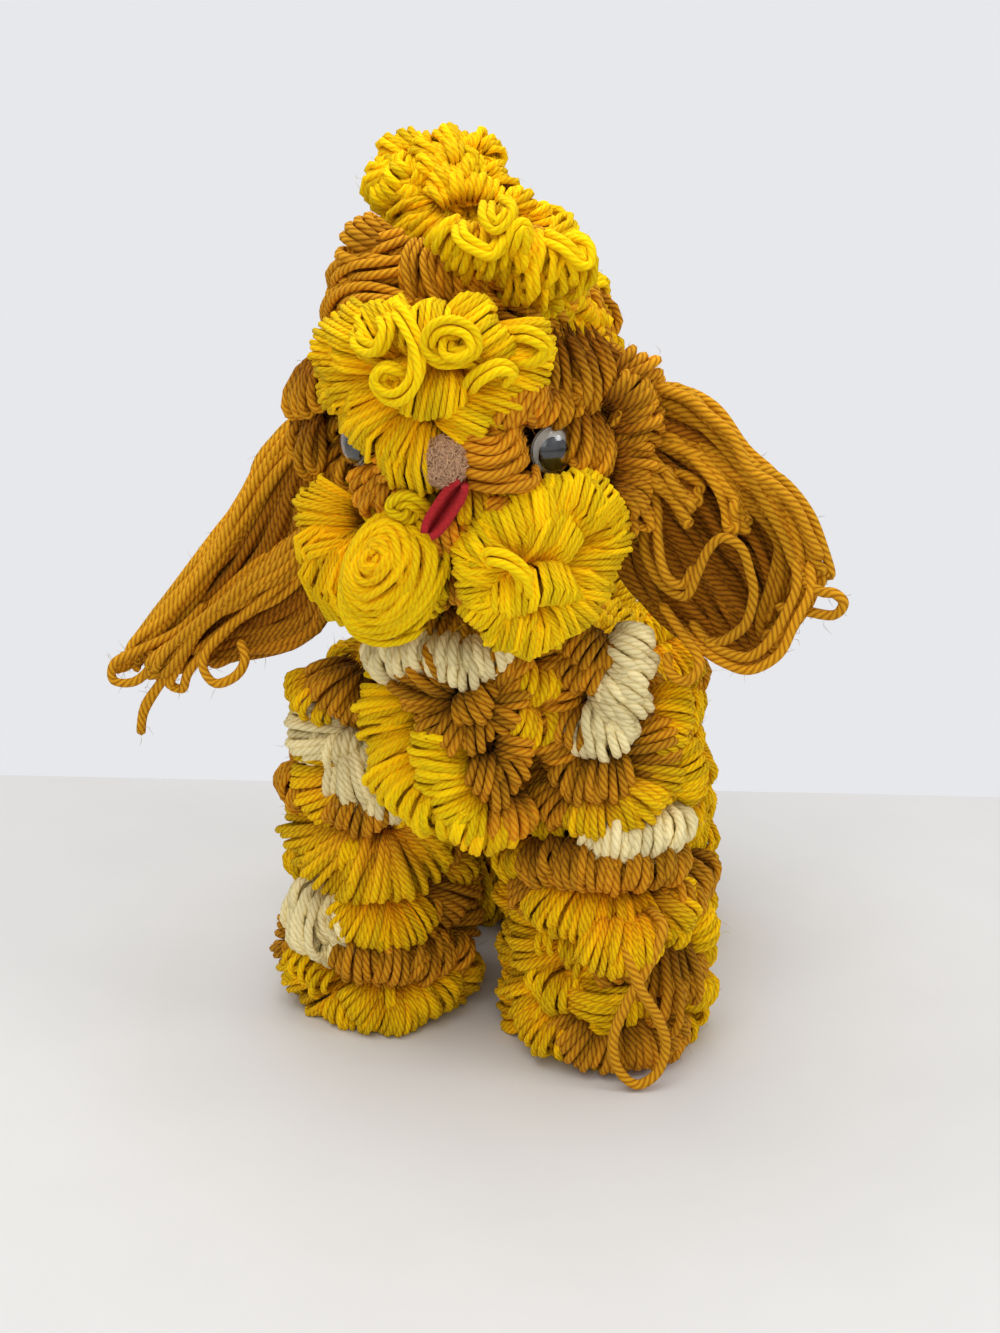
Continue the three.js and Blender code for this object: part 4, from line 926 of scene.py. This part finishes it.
# Cheeks: the right one is a big rose of loops wound round its own middle and hanging low, with a
# fan beside it. The left one is a flower of fans round a small hook, under a bigger fan.
CHEEK = 41
ROSE_BED = 36
ROSE_TURN = -15
ROSE_HEIGHT = -23.3
ROSE_AWAY = 34
ROSE_WIDE = 10.4
ROSE_TALL = 12.7
ROSE_DOME = 10.5
ROSE_SAG = 4.7
ROSE_ROUNDS = 42
ROSE_POINTS = 25
ROSE_YARN = 0.85
rose_middle = beside(head_middle, ROSE_TURN, ROSE_HEIGHT, ROSE_AWAY)
rose_out = beside(np.zeros(3), ROSE_TURN, 0.15, 1)
rose_side = unit(np.cross(UP, rose_out))
rose_up = np.cross(rose_out, rose_side)
right_cheek_puffs = drape(head_middle, ROSE_BED, (
    (-14, -22, -24, -36, 60), (-16, -22, -13, -36, 50), (-15, -22, -16, -12, 60),
), "f")
for layer in range(ROSE_ROUNDS):
    share = (layer / ROSE_ROUNDS) ** 0.8
    wide, tall = 0.9 + ROSE_WIDE * share, 1.1 + ROSE_TALL * share
    start = draw.uniform(0, 2 * math.pi)
    angle = start + np.linspace(0, draw.uniform(4.2, 5.8), ROSE_POINTS)
    wobble = draw.normal(1, 0.08) + 0.05 * np.sin(angle * 2 + start) + 0.05 * np.sin(angle * 3 - start)
    tucked = 2.5 * np.abs(np.linspace(-1, 1, ROSE_POINTS)) ** 6
    dome = ROSE_DOME - ROSE_DOME * share**2 - tucked + draw.normal(0, 0.5)
    dome += 0.8 * np.sin(angle * 2 + layer)
    upward = -np.cos(angle) * tall * wobble - ROSE_SAG * share
    sideways = np.sin(angle) * wide * wobble + 0.2 * upward
    round_points = rose_middle + np.column_stack((sideways, upward, dome)) @ (rose_side, rose_up, rose_out)
    tone = (GOLD * (0.6 - 0.6 * share) + YELLOW * (0.4 + 0.6 * share)) * draw.uniform(0.9, 1.08)
    right_cheek_puffs.append((round_points[None], np.tile(tone, (1, ROSE_POINTS, 1)), ROSE_YARN))
right_cheek_puffs += drape(head_middle, CHEEK, (
    (-36, -18, -58, -17, 34), (-42, -17, -55, -25, 28), (-42, -18, -51, -35, 24),
    (-36, -18, -45, -37, 24), (-36, -20, -54, -21, 30),
), "f", plump=5.5, roll=1.5, edge=0.08, loose=0.3)
spin("right_cheek_loops", right_cheek_puffs, "yellow_yarn", "head", "right_cheek_tuft")
left_cheek_puffs = drape(head_middle, CHEEK, (
    (41, -20, 45, -13, 50), (43, -20, 53, -14, 40), (42, -22, 60, -19, 30), (29, -27, 17, -20, 40),
    (28, -28, 17, -27, 40), (28, -29, 20, -34, 40), (29, -30, 28, -38, 45), (31, -29, 39, -36, 40),
    (32, -28, 48, -32, 34), (32, -27, 54, -26, 30), (29, -25, 33, -18, 45), (25, -25, 21, -18, 45),
    (29, -29, 29, -27, 120), (34, -23, 34, -13, 50), (29, -22, 27, -15, 50),
), "f", plump=5.5, roll=1.5, edge=0.08, loose=0.3)
CHEEK_HOOK = ((15, -22, -3), (17, -21, 2), (21, -22, 3), (25, -25, 3), (26, -28, 2), (26, -30, -2))
left_cheek_puffs.append(ringlet(head_middle, CHEEK, CHEEK_HOOK, YELLOW))
spin("left_cheek_loops", left_cheek_puffs, "yellow_yarn", "head", "left_cheek_tuft")

# Eyes: plastic ones with a loose pupil. Each is a white disc, a black pupil that rolls on it and a
# clear domed cover, and is glued to the head.
eye_whites = linear(222, 216, 202), linear(234, 230, 220)
grained_finish("eye_white", *eye_whites, roughness=0.35, scale=600, relief=0.00002)
eye_blacks = linear(16, 18, 20), linear(28, 30, 32)
eye_black_shader = grained_finish("eye_black", *eye_blacks, roughness=0.4, scale=600, relief=0.00002)
feed(eye_black_shader, {"Specular IOR Level": 0.2})
eye_clears = (0.95, 0.97, 0.97), (1, 1, 1)
eye_clear_shader = grained_finish("eye_clear", *eye_clears, roughness=0.04, scale=300, relief=0.00001)
feed(eye_clear_shader, {"Transmission Weight": 1, "IOR": 1.49})


def turned(name, profile, place, outward, slot, body, node):
    """A round piece from half its outline, each point its distance from the axis and its height."""
    shape = bmesh.new()
    points = [shape.verts.new((away * MM, 0, height * MM)) for away, height in profile]
    edges = [shape.edges.new(pair) for pair in zip(points, points[1:])]
    lathe = dict(cent=(0, 0, 0), axis=(0, 0, 1), angle=2 * math.pi, steps=48, use_merge=True)
    bmesh.ops.spin(shape, geom=points + edges, **lathe)
    bmesh.ops.remove_doubles(shape, verts=shape.verts, dist=1e-7)
    bmesh.ops.recalc_face_normals(shape, faces=shape.faces)
    stand = Vector(outward).to_track_quat("Z", "Y").to_matrix().to_4x4()
    bmesh.ops.transform(shape, matrix=stand, verts=shape.verts)
    bmesh.ops.translate(shape, vec=Vector(place) * MM, verts=shape.verts)
    fix(shaped(name, shape, slot), body, slot, node)


EYE_RADIUS = 5.0
EYE_BACK = 0.8
EYE_HEIGHT = 3.0
EYE_WALL = 0.5
EYE_AZIMUTH = 0.76
COVER_GAP = 0.15
PUPIL_THICK = 0.6
EYE_DISC = ((0, 0), (4.7, 0), (5, 0.3), (5, 0.6), (4.85, 0.78), (0, 0.78))
PUPIL_DISC = ((0, 0), (3.4, 0), (3.5, 0.1), (3.5, 0.45), (3.35, PUPIL_THICK), (0, PUPIL_THICK))


def half_dome(radius, height):
    """Half the outline of a dome, from its rim to its top on the axis."""
    arc = np.linspace(0, math.pi / 2, 10)
    return [*((radius * math.cos(angle), height * math.sin(angle)) for angle in arc[:-1]), (0, height)]


for side_name, side in (("left", 1), ("right", -1)):
    outward = np.array((side * math.sin(EYE_AZIMUTH), -math.cos(EYE_AZIMUTH), 0))
    eye = f"{side_name}_eye"
    seat = middle(f"{eye}_back") - outward * EYE_BACK / 2
    turned(f"{eye}_disc", EYE_DISC, seat, outward, "eye_white", "head", f"{eye}_back")
    inside = half_dome(EYE_RADIUS - EYE_WALL, EYE_HEIGHT - EYE_WALL)
    cover = (*inside[::-1], *half_dome(EYE_RADIUS, EYE_HEIGHT))
    cover_seat = seat + outward * (EYE_BACK + COVER_GAP)
    turned(f"{eye}_cover", cover, cover_seat, outward, "eye_clear", "head", f"{eye}_dome")
    pupil = f"{side_name}_pupil"
    pupil_seat = middle(pupil) - outward * PUPIL_THICK / 2
    turned(f"{pupil}_disc", PUPIL_DISC, pupil_seat, outward, "eye_black", pupil, pupil)

# Nose: a small ball of tan felt with a nap of short curly fibres all over it. It is glued on top of
# the muzzle, under the brow.
TAN = linear(226, 182, 136)
nose_tones = linear(182, 136, 98), linear(246, 206, 166)
grained_finish("tan_felt", *nose_tones, roughness=0.95, scale=900, relief=0.0006)
nose_low, nose_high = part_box("nose")
nose_half = (nose_high - nose_low) / 2
nose_shape = bmesh.new()
bmesh.ops.create_icosphere(nose_shape, subdivisions=4, radius=0.88)
for vert in nose_shape.verts:
    fuzz = 1 + 0.08 * noise.noise(vert.co * 3) + 0.06 * noise.noise(vert.co * 9)
    vert.co = (nose_low + nose_high) / 2 + Vector(a * b for a, b in zip(vert.co * fuzz, nose_half))
fix(shaped("nose_ball", nose_shape, "tan_felt"), "head", "tan_felt", "nose")
NAP_FIBRES = 1800
NAP_POINTS = 5
NAP_THICK = 0.07
nap_out = unit(draw.normal(0, 1, (NAP_FIBRES, 1, 3)))
nap_aside = unit(np.cross(nap_out, draw.normal(0, 1, (NAP_FIBRES, 1, 3))))
nap_turn = np.linspace(0, 2.6, NAP_POINTS)[None, :, None]
nap_curl = draw.uniform(0.14, 0.34, (NAP_FIBRES, 1, 1))
nap_points = nap_out * (0.85 + nap_curl * np.sin(nap_turn)) + nap_aside * nap_curl * (1 - np.cos(nap_turn))
nap_points = middle("nose") + nap_points * np.array(nose_half) / MM
nap_tones = np.broadcast_to(TAN, nap_points.shape) * draw.uniform(0.8, 1.15, (NAP_FIBRES, 1, 1))
spin("nose_nap", [(nap_points, nap_tones, NAP_THICK)], "tan_felt", "head", down=0)

# Tongue: a scrap of red felt folded once. Its crease is tucked in under the nose, and its two leaves
# stand a little open.
tongue_tones = linear(132, 6, 14), linear(218, 36, 42)
grained_finish("red_felt", *tongue_tones, roughness=0.95, scale=1800, relief=0.0005)
TONGUE_LENGTH = 13.0
TONGUE_WIDTH = 6.0
FELT = 1.4
CREASE = 0.12
LEAF_OPENING = math.radians(19)
tongue_along = Vector((-0.55, 0, -0.83)).normalized()
tongue_forward = Vector((0.12, -1, 0)).normalized()
tongue_aside = tongue_along.cross(tongue_forward)
tongue_middle = Vector(middle("tongue"))
tongue_shape = bmesh.new()
bmesh.ops.create_grid(tongue_shape, x_segments=20, y_segments=24, size=1)
for vert in tongue_shape.verts:
    along, leaf = vert.co.x, vert.co.y
    open_by = LEAF_OPENING * (1 - 0.6 * along**4)
    forward = TONGUE_WIDTH * ((math.hypot(leaf, CREASE) - CREASE) * math.cos(open_by) - 0.5)
    sideways = TONGUE_WIDTH * leaf * math.sin(open_by)
    place = tongue_along * along * TONGUE_LENGTH / 2 + tongue_forward * forward + tongue_aside * sideways
    vert.co = (tongue_middle + place) * MM
tongue = shaped("tongue_felt", tongue_shape, "red_felt")
tongue_wall = tongue.modifiers.new("felt", "SOLIDIFY")
tongue_wall.thickness = FELT * MM
tongue_wall.offset = 0
fix(tongue, "head", "red_felt", "tongue")

# Ears: hanks of long mustard yarn loops, tied at the root. The loops hang in bundles. Those behind
# lie in the shade of the front ones and are darkened and reddened by painted shade; the front ones
# are a touch lighter by painted light. Ways are given out from the hinge and down from it.
# Each bundle's two outer ways, its stand (to the front below 0), its loops and its painted shade
EAR_BUNDLES = {
    "right": (
        (((-5, -4), (2, -1), (9, 4), (14, 11), (18, 19), (25, 28), (33, 38), (41, 47), (48, 58)),
         ((-5, -2), (1, 4), (7, 10), (13, 17), (18, 26), (25, 35), (33, 45), (40, 51), (45, 57)),
         -4, 10, 1.05),
        (((-5, -3), (2, 1), (8, 8), (14, 15), (18, 24), (25, 33), (33, 43), (40, 50), (45, 57)),
         ((-5, 1), (2, 13), (5, 25), (9, 34), (14, 41), (21, 47), (28, 52), (34, 57), (38, 61)),
         4, 18, 0.65),
        (((-5, 1), (0, 12), (0, 24), (3, 33), (9, 39), (16, 44), (23, 49), (29, 54), (33, 60)),
         ((-5, 3), (0, 15), (-1, 29), (-1, 39), (3, 45), (10, 49), (18, 52), (25, 56), (30, 57)),
         5, 12, 0.55),
        (((-5, 1), (-1, 9), (-2, 18), (2, 25), (11, 31), (19, 37), (28, 45), (36, 50), (46, 59)),
         ((-5, 3), (-1, 11), (-2, 22), (-1, 30), (5, 35), (12, 39), (19, 44), (27, 50), (32, 61)),
         -5, 9, 1.0),
        (((-6, 4), (2, 16), (-1, 28), (0, 38), (3, 44), (10, 47), (18, 50), (24, 54), (29, 55)),
         ((-6, 5), (1, 16), (-2, 30), (-2, 41), (1, 49), (9, 52), (17, 55), (25, 59), (30, 57)),
         4, 8, 0.75),
    ),
    "left": (
        (((-6, -8), (5, -10), (11, -8), (20, -1), (24, 6), (29, 9), (34, 14), (36, 20), (41, 30)),
         ((-6, -6), (6, -6), (13, -2), (21, 6), (25, 10), (29, 15), (32, 20), (34, 26), (34, 33)),
         -2, 8, 1.05),
        (((-6, -5), (0, -4), (4, -3), (9, -1), (14, 2), (18, 5), (20, 10), (22, 14), (23, 18)),
         ((-6, -2), (0, -1), (4, 0), (8, 2), (12, 5), (15, 7), (18, 12), (19, 15), (20, 19)),
         -6, 5, 1.05),
        (((-6, 0), (-2, 1), (0, 2), (2, 3), (4, 5), (5, 6), (8, 8), (10, 11), (12, 12)),
         ((-6, 1), (-2, 2), (0, 4), (2, 5), (3, 7), (4, 9), (6, 11), (8, 13), (10, 15)), -6, 3, 1.0),
        (((-6, -5), (6, -3), (14, 1), (21, 7), (26, 13), (30, 20), (32, 27), (33, 33), (32, 39)),
         ((-6, 1), (0, 10), (7, 18), (13, 25), (17, 31), (21, 36), (24, 41), (26, 45), (26, 48)),
         5, 18, 0.55),
        (((-6, 1), (0, 10), (6, 18), (12, 25), (16, 31), (20, 36), (23, 41), (25, 45), (26, 48)),
         ((-6, 3), (-4, 9), (-3, 17), (-2, 25), (2, 33), (7, 39), (11, 43), (16, 46), (21, 48)),
         4, 18, 0.6),
        (((-6, -4), (2, -1), (12, 7), (20, 9), (25, 14), (30, 20), (32, 27), (31, 34), (28, 41)),
         ((-6, -6), (7, -1), (18, 6), (24, 10), (31, 16), (36, 24), (37, 31), (35, 38), (31, 44)),
         -1, 9, 0.95),
        (((-6, 4), (-5, 10), (-5, 19), (-4, 27), (-1, 33), (4, 39), (9, 43), (13, 46), (18, 48)),
         ((-6, 3), (-4, 8), (-3, 17), (-2, 25), (1, 32), (6, 39), (10, 43), (15, 46), (20, 48)),
         3, 8, 0.7),
    ),
}
# Loose loops in front of each hank
EAR_STRAYS = {
    "right": (
        ((26, 42), (33, 49), (43, 54), (48, 57), (48, 61), (43, 61), (39, 57), (40, 53)),
        ((24, 44), (32, 53), (37, 61), (41, 67), (42, 73), (41, 68), (36, 60), (30, 52)),
        ((14, 43), (19, 46), (24, 51), (26, 56), (23, 60), (18, 58), (16, 54), (18, 50)),
    ),
    "left": (
        ((-4, 3), (0, 11), (2, 18), (2, 24), (5, 30), (9, 33), (12, 33), (14, 28), (16, 23), (19, 20),
         (23, 22), (25, 27), (26, 32), (25, 38), (23, 41), (19, 44), (15, 44)),
        ((-3, 3), (4, 13), (5, 20), (6, 26), (8, 30), (11, 31), (13, 27)),
        ((5, 36), (11, 43), (14, 46), (15, 49), (13, 52), (10, 52), (8, 50), (8, 47)),
        ((30, 36), (37, 36), (43, 36), (45, 33), (43, 31), (40, 31), (35, 29)),
        ((-8, -15), (-1, -13), (5, -11), (11, -9), (15, -6), (20, -2), (24, 5), (29, 8), (34, 13),
         (37, 19), (40, 25)),
        ((10, 42), (14, 45), (20, 48), (26, 49), (32, 45), (35, 38), (38, 31), (37, 25)),
        ((12, 40), (16, 44), (21, 46), (26, 46), (30, 42), (33, 36), (35, 30), (34, 24)),
    ),
}
EAR_YARN = 1.15
EAR_STEPS = 7
EAR_DOWN = 14
EAR_HINGE = np.array((36.8, 0, 149.5))
STRAY_STAND = 8.5
TIE_TURNS = 2.6
TIE_POINTS = 60
TIE_SHARE = 0.3
TIE_LENGTH = 5


def ear_lane(lanes, place, reach):
    """The way down between a bundle's two outer lanes, at a share of the way from one to the other."""
    line = lanes[0] * (1 - place) + lanes[1] * place
    run = np.linspace(0, reach * (len(line) - 1), EAR_STEPS)
    return np.column_stack([np.interp(run, np.arange(len(line)), line[:, axis]) for axis in range(2)])


def ear_strand(hinge, side, way, depth, painted_shade=1.0):
    """A strand of the ear from its way and its stand to the front or back, in the yarn's tone with its
    painted shade, which darkens and reddens it below 1 and lightens it above 1.
    """
    line = smooth_line(hinge + np.column_stack((side * way[:, 0], depth, -way[:, 1])), steps=5)
    tone = MUSTARD * painted_shade ** np.array((1, 1.5, 1.6)) * draw.uniform(0.85, 1.12)
    return line[None], np.tile(tone, (1, len(line), 1)), EAR_YARN


for side_name, side in (("left", 1), ("right", -1)):
    tie_middle = middle(f"{side_name}_ear_tie")
    hinge = EAR_HINGE * (side, 1, 1) + (head_middle[0], tie_middle[1], 0)
    strands = []
    for upper_lane, lower_lane, stand, loop_count, painted_shade in EAR_BUNDLES[side_name]:
        lanes = np.array((upper_lane, lower_lane), float)
        for place in np.linspace(0, 1, loop_count):
            other = np.clip(place + draw.uniform(-0.8, 0.8), 0, 1)
            reach = draw.uniform(0.9, 1.0)
            there = ear_lane(lanes, place, reach)
            back = ear_lane(lanes, other, reach * draw.uniform(0.94, 1.0))
            between = [ear_lane(lanes, step, reach) for step in np.linspace(place, other, 5)[1:-1]]
            rim = [line[-1] + unit(line[-1] - line[-3]) * 2 for line in between]
            way = np.vstack((there, rim, back[::-1]))
            along = np.linspace(0, math.pi, len(way))
            fall = np.sin(along)
            sway = draw.normal(0, 1.2, 2)
            way += sway * (np.sin(along * 3 + draw.uniform(0, 6)) * fall)[:, None]
            way[1:-1] += draw.normal(0, 0.5, (len(way) - 2, 2))
            depth = stand * fall + draw.uniform(-1, 1) * (1.5 + 2.5 * fall) + draw.normal(0, 0.6, len(way))
            strands.append(ear_strand(hinge, side, way, depth, painted_shade))
    for stray in EAR_STRAYS[side_name]:
        way = np.array(stray, float)
        depth = -STRAY_STAND * np.sin(np.linspace(0.3, math.pi - 0.6, len(way)))
        strands.append(ear_strand(hinge, side, way, depth))
    ear = f"{side_name}_ear"
    spin(f"{ear}_strands", strands, "mustard_yarn", ear, f"{ear}_hank", down=EAR_DOWN)
    turns = np.linspace(0, TIE_TURNS * 2 * math.pi, TIE_POINTS)
    tie_low, tie_high = (np.array(corner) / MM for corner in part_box(f"{ear}_tie"))
    tie_radius = (tie_high - tie_low)[1] * TIE_SHARE
    tie_run = (turns / turns[-1] - 0.5) * TIE_LENGTH * side
    tie_round = np.cos(turns) * tie_radius, np.sin(turns) * tie_radius
    tie_line = tie_middle + np.column_stack((tie_run, *tie_round))
    tie_tones = np.tile(BROWN, (1, len(turns), 1))
    spin(f"{ear}_binding", [(tie_line[None], tie_tones, EAR_YARN)], "mustard_yarn", ear, f"{ear}_tie")

# Tail: a round pompom of yellow loops on a short stub of wire behind the rump. The stub is wrapped
# with mustard yarn.
tail_low, tail_high = (np.array(corner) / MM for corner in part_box("tail_wire"))
stub_middle = (tail_low[0] + tail_high[0]) / 2
stub_line = np.array(((stub_middle, tail_low[1], tail_low[2]), (stub_middle, tail_high[1], tail_high[2])))
stub_way = unit(stub_line[1] - stub_line[0])
stub_up = unit(np.cross((1, 0, 0), stub_way))
WRAP_TURNS = 7
WRAP_RADIUS = 2.2
WRAP_YARN = 1.2
POMPOM_RADII = (14, 14, 14)
wrap_turn = np.linspace(0, WRAP_TURNS * 2 * math.pi, WRAP_TURNS * 12)[:, None]
wrap_round = WRAP_RADIUS * (np.cos(wrap_turn) * (1, 0, 0) + np.sin(wrap_turn) * stub_up)
wrap_line = stub_line[0] + (stub_line[1] - stub_line[0]) * wrap_turn / wrap_turn[-1] + wrap_round
wrap_tones = np.tile(MUSTARD, (1, len(wrap_line), 1))
spin("tail_stub_wrap", [(wrap_line[None], wrap_tones, WRAP_YARN)], "mustard_yarn", "tail")
tail_puffs = mop(middle("tail_pompom"), POMPOM_RADII, "yyv", count=40, core=0.3, spread=60, plump=3)
spin("tail_loops", tail_puffs, "yellow_yarn", "tail", "tail_pompom")

# Last bits of strip, tied on when the rest is done: a turn round the rump's edge that hides the
# tail's root, and a bunch that closes the right side of the head under the topknot.
rump_edge = np.array((body_middle[0], body_high[1] - 2, body_middle[2]))
EDGE_REACH = 12.5
SIDE_BUNCH_WALL = 31
edge_puffs = tier(
    rump_edge, LENGTHWAYS, UP, TIER_CORE, EDGE_REACH, "yvyyvyyv", lean=0.5, start=10, plump=4, width=8
)
spin("rump_edge_loops", edge_puffs, "variegated_yarn", "body")
side_puffs = drape(head_middle, SIDE_BUNCH_WALL, (
    (-58, 34, -68, 26, 45), (-70, 34, -79, 26, 45), (-64, 30, -74, 21, 45), (-80, 32, -88, 24, 45),
), "h")
spin("head_side_loops", side_puffs, "mustard_yarn", "head")
